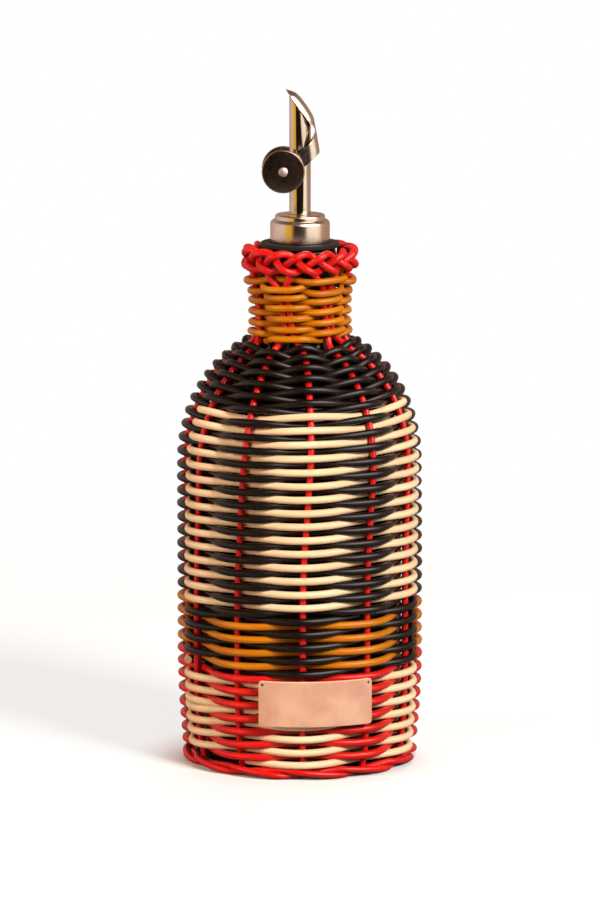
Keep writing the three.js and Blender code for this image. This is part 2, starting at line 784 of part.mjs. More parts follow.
// The rivet runs through both weights and both arms, with a domed head at each end
function rivet() {
  const seat = weightOuter + seatGap;
  const dome = arcPoints([0, seat], [rivetHeadRadius, rivetHeadHeight], 0, 90 * deg, 3);
  const half = [[rivetRadius, seat], ...dome];
  const mirrored = half.map(([radius, height]) => [radius, -height]).reverse();
  return turned([...mirrored, ...half], pinSides).rotateX(Math.PI / 2);
}

const oilPourer = new THREE.Group();

const bottleGroup = new THREE.Group();
oilPourer.add(bottleGroup);
addPiece(bottleGroup, 'glass_bottle', bottle(), 'glass');
for (let i = 0; i < stakeCount; i++) {
  addPiece(bottleGroup, `stake_${String(i + 1).padStart(2, '0')}`, stake(i), 'red');
}
addPiece(bottleGroup, 'foot_strand_a', ropeStrand(1), 'red');
addPiece(bottleGroup, 'foot_strand_b', ropeStrand(-1), 'red');
addPiece(bottleGroup, 'base_band_natural', bandWeaver(0, evenBands.natural, evenBands.black), 'natural');
addPiece(bottleGroup, 'middle_band_black', bandWeaver(0, evenBands.black, evenBands.body), 'black');
addPiece(bottleGroup, 'body_band_natural', bandWeaver(0, evenBands.body, evenBands.shoulder), 'natural');
addPiece(bottleGroup, 'shoulder_band_even', bandWeaver(0, evenBands.shoulder, evenBands.end), 'black');
addPiece(bottleGroup, 'base_band_red', bandWeaver(1, oddBands.red, oddBands.orange), 'red');
addPiece(bottleGroup, 'middle_band_orange', bandWeaver(1, oddBands.orange, oddBands.body), 'orange');
addPiece(bottleGroup, 'body_band_black', bandWeaver(1, oddBands.body, oddBands.shoulder), 'black');
addPiece(bottleGroup, 'shoulder_band_odd', bandWeaver(1, oddBands.shoulder, oddBands.end), 'black');
addPiece(bottleGroup, 'neck_band_even', neckWeaver(0, neckTurns), 'orange');
addPiece(bottleGroup, 'neck_band_odd', neckWeaver(1, neckTurns), 'orange');
addPiece(bottleGroup, 'rim_plait', rimPlait(), 'red');
const labelMesh = addPiece(bottleGroup, 'leather_label', label(), 'leather');
labelMesh.position.z = labelBottomZ;
labelMesh.rotation.z = labelTurn;

const pourerGroup = new THREE.Group();
pourerGroup.position.z = lipTopZ + seatGap;
oilPourer.add(pourerGroup);
addPiece(pourerGroup, 'stopper', stopper(), 'rubber');
addPiece(pourerGroup, 'collar', collar(), 'steel');
addPiece(pourerGroup, 'spout_tube', spout(), 'steel');
const breatherFoot = -stemLength - breatherDrop;
const breatherTop = collarBase + bossHeight;
const breather = pipe(breatherRadius, breatherBore, breatherFoot, breatherTop, breatherSides);
addPiece(pourerGroup, 'breather_tube', breather, 'steel').position.y = breatherOffset;

const flapGroup = new THREE.Group();
flapGroup.position.z = pivotZ;
pourerGroup.add(flapGroup);
addPiece(flapGroup, 'flap', flap(), 'steel');
for (const [name, side] of [['weight_front', -1], ['weight_rear', 1]]) {
  const disc = addPiece(flapGroup, name, weight(), 'weight');
  disc.position.set(rivetSpot.x, side * (weightInner + weightThickness / 2), rivetSpot.y);
}
addPiece(flapGroup, 'weight_rivet', rivet(), 'steel').position.set(rivetSpot.x, 0, rivetSpot.y);

export default oilPourer;
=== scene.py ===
import bpy
import json
import math
from bisect import bisect_right
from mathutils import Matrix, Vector, noise


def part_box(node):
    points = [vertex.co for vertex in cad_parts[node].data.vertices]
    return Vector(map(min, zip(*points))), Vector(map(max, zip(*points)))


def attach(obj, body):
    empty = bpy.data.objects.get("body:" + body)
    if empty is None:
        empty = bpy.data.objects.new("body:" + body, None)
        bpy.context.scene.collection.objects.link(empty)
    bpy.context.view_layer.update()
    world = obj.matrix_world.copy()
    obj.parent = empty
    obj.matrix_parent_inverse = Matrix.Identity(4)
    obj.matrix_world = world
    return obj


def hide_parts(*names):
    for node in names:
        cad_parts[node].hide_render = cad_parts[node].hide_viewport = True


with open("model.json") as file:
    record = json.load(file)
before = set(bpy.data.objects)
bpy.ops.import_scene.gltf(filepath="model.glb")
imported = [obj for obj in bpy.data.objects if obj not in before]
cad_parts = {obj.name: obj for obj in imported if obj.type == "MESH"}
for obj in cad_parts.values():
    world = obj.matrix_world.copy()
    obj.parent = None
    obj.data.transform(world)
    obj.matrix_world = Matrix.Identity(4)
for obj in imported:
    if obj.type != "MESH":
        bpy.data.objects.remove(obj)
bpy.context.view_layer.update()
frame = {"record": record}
mm = 0.001


# the surface that the middles of the stakes lie on, in millimetres
sleeve = {
    "footRadius": 45.7,
    "firstRowZ": 9.2,
    "radius": 47.6,
    "fullWidthZ": 45,
    "shoulderZ": 128,
    "shoulderRise": 54.5,
    "shoulderTopRadius": 21.9,
    "shoulderSteps": 60,
    "neckRadius": 17.5,
    "neckStartZ": 187,
    "flareStartZ": 197,
    "rimRadius": 20,
    "rimZ": 208.4,
}


def bezier(ends, steps=24):  # quadratic or cubic, without its first point
    points = []
    for n in range(1, steps + 1):
        level = [Vector(end) for end in ends]
        while len(level) > 1:
            level = [a.lerp(b, n / steps) for a, b in zip(level, level[1:])]
        points.append(level[0])
    return points


def sleeveOutline():  # up the side, over the shoulder, through the hollow and out to the rim
    s = sleeve
    foot = (s["footRadius"], s["firstRowZ"])
    full = (s["radius"], s["fullWidthZ"])
    points = [Vector(foot)] + bezier([foot, (s["radius"], (foot[1] + full[1]) / 2), full])
    points.append(Vector((s["radius"], s["shoulderZ"])))
    sweep = math.acos(s["shoulderTopRadius"] / s["radius"])
    for n in range(1, s["shoulderSteps"] + 1):
        turn = sweep * n / s["shoulderSteps"]
        height = s["shoulderZ"] + s["shoulderRise"] * math.sin(turn)
        points.append(Vector((s["radius"] * math.cos(turn), height)))
    atShoulder = len(points) - 1
    slide = (s["shoulderTopRadius"] - s["neckRadius"]) / (s["radius"] * math.sin(sweep))
    hollowZ = points[-1].y + slide * s["shoulderRise"] * math.cos(sweep)
    neck = (s["neckRadius"], s["neckStartZ"])
    flare = (s["neckRadius"], s["flareStartZ"])
    middleZ = (s["flareStartZ"] + s["rimZ"]) / 2
    rim = (s["rimRadius"], s["rimZ"])
    points += bezier([points[-1], (s["neckRadius"], hollowZ), neck])
    points.append(Vector(flare))
    points += bezier([flare, (flare[0], middleZ), (rim[0], middleZ), rim])
    return points, atShoulder


outline, atShoulder = sleeveOutline()
reach = [0.0]
for a, b in zip(outline, outline[1:]):
    reach.append(reach[-1] + (b - a).length)
shoulderLength = reach[atShoulder]
rimLength = reach[-1]


def onSleeve(length):  # radius and height, straight on past both ends
    if length <= 0:
        return Vector((outline[0].x, outline[0].y + length))
    if length >= rimLength:
        return Vector((outline[-1].x, outline[-1].y + length - rimLength))
    n = bisect_right(reach, length) - 1
    return outline[n].lerp(outline[n + 1], (length - reach[n]) / (reach[n + 1] - reach[n]))


def smooth(value, start, end):
    t = min(max((value - start) / (end - start), 0), 1)
    return t * t * (3 - 2 * t)


def outward(angle):
    return Vector((math.sin(angle), -math.cos(angle), 0))


def atSleeve(length, angle, lift):  # a point that far off the sleeve, square to it
    near = 0.3
    slope = (onSleeve(length + near) - onSleeve(length - near)).normalized()
    place = onSleeve(length)
    point = outward(angle) * (place.x + lift * slope.y)
    point.z = place.y - lift * slope.x
    return point


stakes = {
    "count": 12,
    "backAngle": math.radians(181.5),
    "splay": math.radians(6.5),  # wider apart at the front
    "splayReach": math.radians(120),
    "lean": math.radians(4.5),
    "leanZ": (72, 155),
    "neckTwist": math.radians(-18),
    "twistStartZ": 172,
    "diameter": 2.8,
    "joinRows": (-1, 2.5),  # rows past the last black one in which the pairs close
    "halfGap": 1.5,
    "fan": (-6.5, 1),  # lengths past the rim between which the pairs open again
    "tuck": (6, 1.5, 2),  # how far a foot end goes down and in behind the rope, and where that ends
    "above": 2.2,
    "steps": 220,
    "bow": 0.16,  # unevenness of hand work: off the sleeve, sideways and in thickness
    "sway": 0.006,
    "uneven": 0.05,
}
rows = {
    "toShoulder": 64,
    "neckStep": 1.6,
    "neckRows": 12.2,
    "underRim": 1.4,
    "raise": (0.4, (20, 45), (53, 63)),  # rows, and where that comes and goes
    # where a new cane is laid in beside the last, and how it moves its neighbours
    "splice": {"crossing": 40, "wide": 0.9, "push": 0.62, "reach": 4, "steep": 1.5, "overlap": 2},
    "crossing": 2.85,
    "diameter": 3.15,
    "wander": 0.28,
    "bow": 0.12,
    "uneven": 0.045,
}
stakeStep = 2 * math.pi / stakes["count"]
rowPitch = shoulderLength / (rows["toShoulder"] - 1)
blackEnd = rowPitch * rows["toShoulder"]
neckStart = blackEnd + rows["neckStep"]
neckPitch = (rimLength - rows["underRim"] - neckStart) / rows["neckRows"]


def pairing(length):  # 0 where the stakes stand alone, 1 where they have joined
    start, end = stakes["joinRows"]
    return smooth(length, blackEnd + start * rowPitch, blackEnd + end * rowPitch)


def halfPair(length):  # half the angle between the two stakes of a pair
    closed = math.asin(stakes["halfGap"] / sleeve["neckRadius"])
    start, end = stakes["fan"]
    fan = smooth(length, rimLength + start, rimLength + end)
    return stakeStep / 2 + (closed - stakeStep / 2) * (pairing(length) - fan)


def pairAngle(pair, length):
    height = onSleeve(length).y
    lean = stakes["lean"] * smooth(height, *stakes["leanZ"])
    share = (height - stakes["twistStartZ"]) / (sleeve["rimZ"] - stakes["twistStartZ"])
    twist = stakes["neckTwist"] * min(max(share, 0), 1)
    return stakes["backAngle"] + (2 * pair + 1.5) * stakeStep + lean + twist


def stakeAngle(stake, length):
    pair = math.ceil(stake / 2) - 1
    side = -1 if stake % 2 else 1
    fromFront = (stake % stakes["count"] - stakes["count"] / 2) * stakeStep
    splay = 0
    if abs(fromFront) < stakes["splayReach"]:
        splay = stakes["splay"] * math.sin(math.pi * fromFront / stakes["splayReach"])
        splay *= 1 - pairing(length)
    return pairAngle(pair, length) + side * halfPair(length) + splay


def wander(a, b, seed):  # slow unevenness of hand work, the same on every run
    apart = 13.7
    return noise.noise(Vector((a, b, seed * apart)))


def layCane(name, points, diameter, closed=False, sides=10):
    # a path through the points, made round and turned into a mesh with UVs in metres
    bpy.ops.object.select_all(action="DESELECT")
    bpy.ops.curve.primitive_nurbs_path_add(location=(0, 0, 0))
    cane = bpy.context.object
    cane.name = cane.data.name = name
    cane.data.splines.clear()
    spline = cane.data.splines.new("POLY")
    spline.points.add(len(points) - 1)
    for target, (point, thickness) in zip(spline.points, points):
        target.co = (*(point * mm), 1)
        target.radius = thickness
    spline.use_cyclic_u = closed
    spline.use_smooth = True
    cane.data.twist_mode = "Z_UP"
    cane.data.bevel_depth = diameter / 2 * mm
    cane.data.bevel_resolution = sides // 2 - 2
    cane.data.use_fill_caps = not closed
    bpy.ops.object.convert(target="MESH")
    length = sum((b[0] - a[0]).length for a, b in zip(points, points[1:])) * mm
    around = math.pi * diameter * mm
    for corner in cane.data.uv_layers.active.data:
        corner.uv = (corner.uv[0] * length, corner.uv[1] * around)
    bpy.ops.object.shade_smooth()
    return cane


def wholeCane(cane, nodeName, finish):
    cane.data.materials.clear()
    cane.data.materials.append(finish)
    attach(cane, "bottle")
    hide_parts(nodeName)
    return cane


# node groups that several finishes share
def newGroup(name, inputs, outputs):
    group = bpy.data.node_groups.new(name, "ShaderNodeTree")
    for label, kind, value in inputs:
        socket = group.interface.new_socket(label, in_out="INPUT", socket_type=kind)
        socket.default_value = value
    for label, kind in outputs:
        group.interface.new_socket(label, in_out="OUTPUT", socket_type=kind)
    return group, group.nodes.new("NodeGroupInput"), group.nodes.new("NodeGroupOutput")


def node(tree, kind, links=None, **values):
    made = tree.nodes.new(kind)
    for key, value in values.items():
        if hasattr(made, key) and key not in made.inputs:
            setattr(made, key, value)
        else:
            made.inputs[key].default_value = value
    for key, source in (links or {}).items():
        tree.links.new(source, made.inputs[key])
    return made


def ramp(tree, source, stops):
    made = tree.nodes.new("ShaderNodeValToRGB")
    while len(made.color_ramp.elements) < len(stops):
        made.color_ramp.elements.new(0.5)
    for element, (place, colour) in zip(made.color_ramp.elements, stops):
        element.position = place
        element.color = (*colour, 1) if len(colour) == 3 else colour
    tree.links.new(source, made.inputs["Fac"])
    return made


fibre = {
    "streak": (55, 1500, 1),  # per metre along and round the cane
    "patch": (34, 60, 1),
    "scuff": (7.5, 0, 1),
    "streakEdges": (0.36, 0.68),
    "patchEdges": (0.35, 0.7),
    "patchDepth": 0.55,
    "roughSpread": 0.18,
    "scuffHeight": 0.6,
}


def maskRamp(tree, source, edges):  # black below the first edge, white above the second
    return ramp(tree, source, [(edges[0], (0, 0, 0)), (edges[1], (1, 1, 1))])


def caneFibreGroup():  # streaks that run along a cane, from its UVs
    group, taken, given = newGroup(
        "cane fibre",
        [("Light", "NodeSocketColor", (1, 1, 1, 1)), ("Dark", "NodeSocketColor", (0, 0, 0, 1)),
         ("Deep", "NodeSocketColor", (0, 0, 0, 1)), ("Gloss", "NodeSocketFloat", 0.4)],
        [("Color", "NodeSocketColor"), ("Roughness", "NodeSocketFloat"), ("Height", "NodeSocketFloat")])
    uv = node(group, "ShaderNodeUVMap")
    streakMap = node(group, "ShaderNodeMapping", {"Vector": uv.outputs["UV"]}, Scale=fibre["streak"])
    streak = node(group, "ShaderNodeTexNoise", {"Vector": streakMap.outputs["Vector"]}, Scale=1, Detail=4)
    patchMap = node(group, "ShaderNodeMapping", {"Vector": uv.outputs["UV"]}, Scale=fibre["patch"])
    patch = node(group, "ShaderNodeTexNoise", {"Vector": patchMap.outputs["Vector"]}, Scale=1, Detail=3)
    scuffMap = node(group, "ShaderNodeMapping", {"Vector": uv.outputs["UV"]}, Scale=fibre["scuff"])
    scuff = node(group, "ShaderNodeTexNoise", {"Vector": scuffMap.outputs["Vector"]}, Scale=1, Detail=1)
    streakMask = maskRamp(group, streak.outputs["Fac"], fibre["streakEdges"])
    patchMask = maskRamp(group, patch.outputs["Fac"], fibre["patchEdges"])
    mixA = node(group, "ShaderNodeMix", {0: streakMask.outputs["Color"], 6: taken.outputs["Light"],
                                         7: taken.outputs["Dark"]}, data_type="RGBA")
    soft = node(group, "ShaderNodeMath", {0: patchMask.outputs["Color"]}, operation="MULTIPLY")
    soft.inputs[1].default_value = fibre["patchDepth"]
    mixB = node(group, "ShaderNodeMix", {0: soft.outputs[0], 6: mixA.outputs[2], 7: taken.outputs["Deep"]},
                data_type="RGBA")
    rough = node(group, "ShaderNodeMath", {0: streak.outputs["Fac"], 2: taken.outputs["Gloss"]},
                 operation="MULTIPLY_ADD")
    rough.inputs[1].default_value = fibre["roughSpread"]
    height = node(group, "ShaderNodeMath", {0: scuff.outputs["Fac"], 2: streak.outputs["Fac"]},
                  operation="MULTIPLY_ADD")
    height.inputs[1].default_value = fibre["scuffHeight"]
    group.links.new(mixB.outputs[2], given.inputs["Color"])
    group.links.new(rough.outputs[0], given.inputs["Roughness"])
    group.links.new(height.outputs[0], given.inputs["Height"])
    return group


def newFinish(name):
    material = bpy.data.materials.new(name)
    material.use_nodes = True
    return material, material.node_tree, material.node_tree.nodes["Principled BSDF"]


caneFibre = caneFibreGroup()


def caneFinish(name, light, dark, deep, gloss, shine):
    material, tree, shader = newFinish(name)
    streaks = tree.nodes.new("ShaderNodeGroup")
    streaks.node_tree = caneFibre
    streaks.inputs["Light"].default_value = (*light, 1)
    streaks.inputs["Dark"].default_value = (*dark, 1)
    streaks.inputs["Deep"].default_value = (*deep, 1)
    streaks.inputs["Gloss"].default_value = gloss
    bump = node(tree, "ShaderNodeBump", {"Height": streaks.outputs["Height"]}, Strength=0.25, Distance=0.0002)
    tree.links.new(streaks.outputs["Color"], shader.inputs["Base Color"])
    tree.links.new(streaks.outputs["Roughness"], shader.inputs["Roughness"])
    tree.links.new(bump.outputs["Normal"], shader.inputs["Normal"])
    shader.inputs["Specular IOR Level"].default_value = shine
    return material


redCane = caneFinish("red cane", light=(0.68, 0.012, 0.008), dark=(0.52, 0.006, 0.005),
                     deep=(0.36, 0.003, 0.005), gloss=0.13, shine=0.5)
orangeCane = caneFinish("orange cane", light=(0.6, 0.215, 0.002), dark=(0.43, 0.105, 0.0015),
                        deep=(0.28, 0.045, 0.001), gloss=0.17, shine=0.44)
blackCane = caneFinish("black cane", light=(0.008, 0.0042, 0.0034), dark=(0.0045, 0.0023, 0.0019),
                       deep=(0.0028, 0.0014, 0.0012), gloss=0.18, shine=0.42)
naturalCane = caneFinish("natural cane", light=(0.87, 0.68, 0.44), dark=(0.77, 0.49, 0.28),
                         deep=(0.68, 0.39, 0.21), gloss=0.32, shine=0.34)
print("cane finishes ready")


# stakes
for number in range(stakes["count"]):
    points = []
    down, inward, tuckEnd = stakes["tuck"]
    bottom = -down
    top = rimLength + stakes["above"]
    for n in range(stakes["steps"] + 1):
        length = bottom + (top - bottom) * n / stakes["steps"]
        lift = stakes["bow"] * wander(length * 0.04, number * 3.1, 1)
        lift -= inward * (1 - smooth(length, bottom, tuckEnd))
        angle = stakeAngle(number, length) + stakes["sway"] * wander(length * 0.025, number * 5.3, 2)
        thickness = 1 + stakes["uneven"] * wander(length * 0.05, number, 3)
        points.append((atSleeve(length, angle, lift), thickness))
    cane = layCane("cane_stake_%02d" % (number + 1), points, stakes["diameter"], sides=12)
    wholeCane(cane, "stake_%02d" % (number + 1), redCane)
print("stakes stand")


# bands of weavers: node, parity, slot, finish, and for each cane its first and last crossing
# and its side of the splice
bands = [
    ("base_band_natural", 0, "natural_cane", naturalCane, [(-7, 41.3, -1), (38.7, 75.8, 1)]),
    ("middle_band_black", 0, "black_cane", blackCane, [(76.5, 133, 0)]),
    ("body_band_natural", 0, "natural_cane", naturalCane, [(133, 313, 0)]),
    ("shoulder_band_even", 0, "black_cane", blackCane, [(313, 385, 0)]),
    ("base_band_red", 1, "red_cane", redCane, [(-10, 76, 0)]),
    ("middle_band_orange", 1, "orange_cane", orangeCane, [(76, 124, 0)]),
    ("body_band_black", 1, "black_cane", blackCane, [(124, 304, 0)]),
    ("shoulder_band_odd", 1, "black_cane", blackCane, [(304, 372, 0)]),
]


def rowAt(crossing, parity, side):
    row = 2 * crossing / stakes["count"] + parity
    extra, comes, goes = rows["raise"]
    row += extra * (smooth(row, *comes) - smooth(row, *goes))
    splice = rows["splice"]
    half = stakes["count"] / 2
    aside = (crossing - splice["crossing"] + half) % stakes["count"] - half
    near = math.exp(-(aside / splice["wide"]) ** 2)
    above = row - 2 * splice["crossing"] / stakes["count"]
    push = math.tanh(splice["steep"] * above) * math.exp(-abs(above) / splice["reach"])
    if abs(crossing - splice["crossing"]) < splice["overlap"]:
        push = side
    return row + splice["push"] * near * push


def weaverPoints(parity, first, last, side, steps=10):
    points = []
    for n in range(round((last - first) * steps) + 1):
        crossing = first + n / steps
        length = rowPitch * rowAt(crossing, parity, side)
        length += rows["wander"] * wander(crossing * 0.31, parity * 4.7, 4)
        low = math.floor(crossing)
        share = crossing - low
        angle = (1 - share) * stakeAngle(low, length) + share * stakeAngle(low + 1, length)
        wave = math.cos(math.pi * (crossing - parity))
        lift = rows["crossing"] * wave + rows["bow"] * wander(crossing * 0.8, parity * 2.9, 5)
        thickness = 1 + rows["uneven"] * wander(crossing * 0.23, parity, 6)
        points.append((atSleeve(length, angle, lift), thickness))
    return points


for nodeName, parity, slot, finish, canes in bands:
    laid = [layCane("cane_" + nodeName, weaverPoints(parity, *cane), rows["diameter"]) for cane in canes]
    for cane in laid:
        cane.select_set(True)
    bpy.context.view_layer.objects.active = laid[0]
    if len(laid) > 1:
        bpy.ops.object.join()
    wholeCane(laid[0], nodeName, finish)
print("bands woven")


neck = {
    "turns": 6,
    "diameter": 2.95,
    "hold": 0.25,  # share of a crossing on either side of a pair's middle that lies straight over it
    "overPair": 1.7,
    "wander": 0.2,
    "squeeze": 0.1,
}


def neckPoints(parity, steps=16):
    pairs = stakes["count"] // 2
    points = []
    hold = neck["hold"]
    for n in range(neck["turns"] * pairs * steps + 1):
        crossing = parity - hold + n / steps
        pair = math.floor(crossing + 0.5)
        share = crossing - pair  # -0.5 to 0.5 across one pair and the gaps beside it
        row = 2 * crossing / pairs + (1 - parity)
        length = neckStart + neckPitch * max(row, 0)
        length += neck["wander"] * wander(crossing * 0.5, parity * 3.7, 7)
        spread = halfPair(length) + math.asin(neck["overPair"] / sleeve["neckRadius"])
        side = -1 if (pair - parity) % 2 == 0 else 1
        if abs(share) <= hold:
            angle = pairAngle(pair, length) + share / hold * spread
            wave = side
        else:
            way = 1 if share > 0 else -1
            beyond = (abs(share) - hold) / (1 - 2 * hold)
            start = pairAngle(pair, length) + way * spread
            end = pairAngle(pair + way, length) - way * spread
            angle = start + (end - start) * beyond
            wave = side * math.cos(math.pi * beyond)
        thickness = 1 - neck["squeeze"] + neck["squeeze"] * abs(wave)
        points.append((atSleeve(length, angle, rows["crossing"] * wave), thickness))
    return points


for nodeName, parity in [("neck_band_even", 0), ("neck_band_odd", 1)]:
    cane = layCane("cane_" + nodeName, neckPoints(parity), neck["diameter"])
    wholeCane(cane, nodeName, orangeCane)
print("neck woven")


plait = {
    "arcs": 14,
    "leads": 3,
    "radius": 21.4,
    "halfHeight": 3.8,
    "halfDepth": 1.9,
    "middleZ": 213.8,
    "diameter": 3.1,
    "wander": 0.3,
    "uneven": 0.04,
}


def plaitPoints(steps=28):
    points = []
    for n in range(plait["arcs"] * steps):
        phase = 2 * math.pi * (n + 0.5) / steps
        angle = stakeAngle(0, rimLength) + 2 * math.pi * plait["leads"] * n / (plait["arcs"] * steps)
        point = outward(angle) * (plait["radius"] + plait["halfDepth"] * math.sin(2 * phase))
        point.z = plait["middleZ"] + plait["halfHeight"] * math.sin(phase)
        point.z += plait["wander"] * wander(n * 0.05, 0.4, 8)
        points.append((point, 1 + plait["uneven"] * wander(n * 0.03, 2.2, 9)))
    return points


cane = layCane("cane_rim_plait", plaitPoints(), plait["diameter"], closed=True, sides=14)
wholeCane(cane, "rim_plait", redCane)

rope = {
    "twists": 6,
    "radius": 46.9,
    "middleZ": 2.65,
    "depth": 1.52,
    "rise": 1.25,
    "turn": math.radians(-9.5),
    "dive": 1.7,  # a strand stays outside, then dives under the next
    "diameter": 2.95,
    "press": 0.14,
    "uneven": 0.03,
}


def ropePoints(side, steps=40):
    points = []
    for n in range(rope["twists"] * steps):
        turn = 2 * math.pi * n / (rope["twists"] * steps)
        wind = rope["twists"] * turn + side * math.pi / 2
        across = math.tanh(rope["dive"] * math.cos(wind)) / math.tanh(rope["dive"])
        angle = stakes["backAngle"] + rope["turn"] + turn
        point = outward(angle) * (rope["radius"] + rope["depth"] * across)
        point.z = rope["middleZ"] - rope["rise"] * 2 / math.pi * math.asin(math.sin(wind))
        thickness = 1 - rope["press"] * math.sin(wind) ** 2 + rope["uneven"] * wander(n * 0.04, side, 10)
        points.append((point, thickness))
    return points


for nodeName, side in [("foot_strand_a", 1), ("foot_strand_b", -1)]:
    cane = layCane("cane_" + nodeName, ropePoints(side), rope["diameter"], closed=True, sides=14)
    wholeCane(cane, nodeName, redCane)
print("plait and foot rope laid")


# turned pieces: a ring drawn up step by step through a profile of (radius, height) in millimetres
def arc(centre, radii, start, end, steps):
    points = []
    for n in range(steps + 1):
        turn = math.radians(start + (end - start) * n / steps)
        points.append((centre[0] + radii[0] * math.cos(turn), centre[1] + radii[1] * math.sin(turn)))
    return points


def roundEdge(radius, height, ease, start, end, steps):
    return arc((radius, height), (ease, ease), start, end, steps)


def settle(piece, body, nodeName, finish, sharp=35):
    bpy.ops.object.select_all(action="DESELECT")
    piece.select_set(True)
    bpy.context.view_layer.objects.active = piece
    bpy.ops.object.transform_apply(location=True, rotation=True, scale=True)
    bpy.ops.object.shade_smooth_by_angle(angle=math.radians(sharp))
    piece.data.materials.clear()
    piece.data.materials.append(finish)
    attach(piece, body)
    if nodeName:
        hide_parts(nodeName)
    return piece


def turnPiece(name, profile, sides=72):
    tiny = 0.004
    rings = [(max(radius, tiny), height) for radius, height in profile]
    bpy.ops.object.select_all(action="DESELECT")
    bpy.ops.mesh.primitive_circle_add(vertices=sides, radius=rings[0][0] * mm,
                                      location=(0, 0, rings[0][1] * mm))
    piece = bpy.context.object
    piece.name = piece.data.name = name
    bpy.ops.object.mode_set(mode="EDIT")
    bpy.ops.mesh.select_all(action="SELECT")
    for (radiusA, heightA), (radiusB, heightB) in zip(rings, rings[1:]):
        bpy.ops.mesh.extrude_region_move(TRANSFORM_OT_translate={"value": (0, 0, (heightB - heightA) * mm)})
        ratio = radiusB / radiusA
        bpy.ops.transform.resize(value=(ratio, ratio, 1), center_override=(0, 0, heightB * mm))
    bpy.ops.mesh.select_all(action="SELECT")
    bpy.ops.mesh.remove_doubles(threshold=tiny * 2 * mm)
    bpy.ops.mesh.normals_make_consistent(inside=False)
    bpy.ops.object.mode_set(mode="OBJECT")
    bpy.ops.object.transform_apply(location=True, rotation=True, scale=True)
    return piece


def modify(piece, kind, **values):
    bpy.ops.object.select_all(action="DESELECT")
    piece.select_set(True)
    bpy.context.view_layer.objects.active = piece
    bpy.ops.object.modifier_add(type=kind)
    modifier = piece.modifiers[-1]
    for key, value in values.items():
        setattr(modifier, key, value)
    bpy.ops.object.modifier_apply(modifier=modifier.name)


def combine(piece, other, operation):  # the other piece is used up
    modify(piece, "BOOLEAN", operation=operation, object=other, solver="EXACT")
    bpy.data.objects.remove(other, do_unlink=True)


def easeEdges(piece, width, segments=2, sharp=40):
    modify(piece, "BEVEL", width=width * mm, segments=segments, limit_method="ANGLE",
           angle_limit=math.radians(sharp), harden_normals=False)


def rod(radius, low, high, centre=(0, 0), across=False):  # a short bar, upright or along Y
    bpy.ops.object.select_all(action="DESELECT")
    middle = (low + high) / 2
    place = (centre[0], middle, centre[1]) if across else (centre[0], centre[1], middle)
    bpy.ops.mesh.primitive_cylinder_add(vertices=32, radius=radius * mm, depth=(high - low) * mm,
                                        location=Vector(place) * mm,
                                        rotation=(math.pi / 2 if across else 0, 0, 0))
    bpy.ops.object.transform_apply(location=True, rotation=True, scale=True)
    return bpy.context.object


def sizeOf(nodeName):  # low and high corner in millimetres
    return [Vector(corner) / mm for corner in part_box(nodeName)]


# finishes of the bottle, the label and the pourer
def surfaceGrainGroup():  # clouds and fine grain on Object coordinates
    group, taken, given = newGroup(
        "surface grain",
        [("Light", "NodeSocketColor", (1, 1, 1, 1)), ("Dark", "NodeSocketColor", (0, 0, 0, 1)),
         ("Scale", "NodeSocketFloat", 300), ("Roughness", "NodeSocketFloat", 0.4),
         ("Spread", "NodeSocketFloat", 0.1)],
        [("Color", "NodeSocketColor"), ("Roughness", "NodeSocketFloat"), ("Height", "NodeSocketFloat")])
    place = node(group, "ShaderNodeTexCoord")
    cloud = node(group, "ShaderNodeTexNoise", {"Vector": place.outputs["Object"]}, Scale=90, Detail=3)
    grain = node(group, "ShaderNodeTexNoise",
                 {"Vector": place.outputs["Object"], "Scale": taken.outputs["Scale"]}, Detail=5)
    mask = maskRamp(group, cloud.outputs["Fac"], (0.35, 0.68))
    tint = node(group, "ShaderNodeMix", {0: mask.outputs["Color"], 6: taken.outputs["Light"],
                                         7: taken.outputs["Dark"]}, data_type="RGBA")
    rough = node(group, "ShaderNodeMath", {0: grain.outputs["Fac"], 1: taken.outputs["Spread"],
                                           2: taken.outputs["Roughness"]}, operation="MULTIPLY_ADD")
    group.links.new(tint.outputs[2], given.inputs["Color"])
    group.links.new(rough.outputs[0], given.inputs["Roughness"])
    group.links.new(grain.outputs["Fac"], given.inputs["Height"])
    return group


surfaceGrain = surfaceGrainGroup()


def grainFinish(name, light, dark, scale, roughness, spread, bump, distance, sockets):
    material, tree, shader = newFinish(name)
    grain = tree.nodes.new("ShaderNodeGroup")
    grain.node_tree = surfaceGrain
    grain.inputs["Light"].default_value = (*light, 1)
    grain.inputs["Dark"].default_value = (*dark, 1)
    grain.inputs["Scale"].default_value = scale
    grain.inputs["Roughness"].default_value = roughness
    grain.inputs["Spread"].default_value = spread
    dent = node(tree, "ShaderNodeBump", {"Height": grain.outputs["Height"]}, Strength=bump, Distance=distance)
    tree.links.new(grain.outputs["Color"], shader.inputs["Base Color"])
    tree.links.new(grain.outputs["Roughness"], shader.inputs["Roughness"])
    tree.links.new(dent.outputs["Normal"], shader.inputs["Normal"])
    for socket, value in sockets.items():
        shader.inputs[socket].default_value = value
    return material


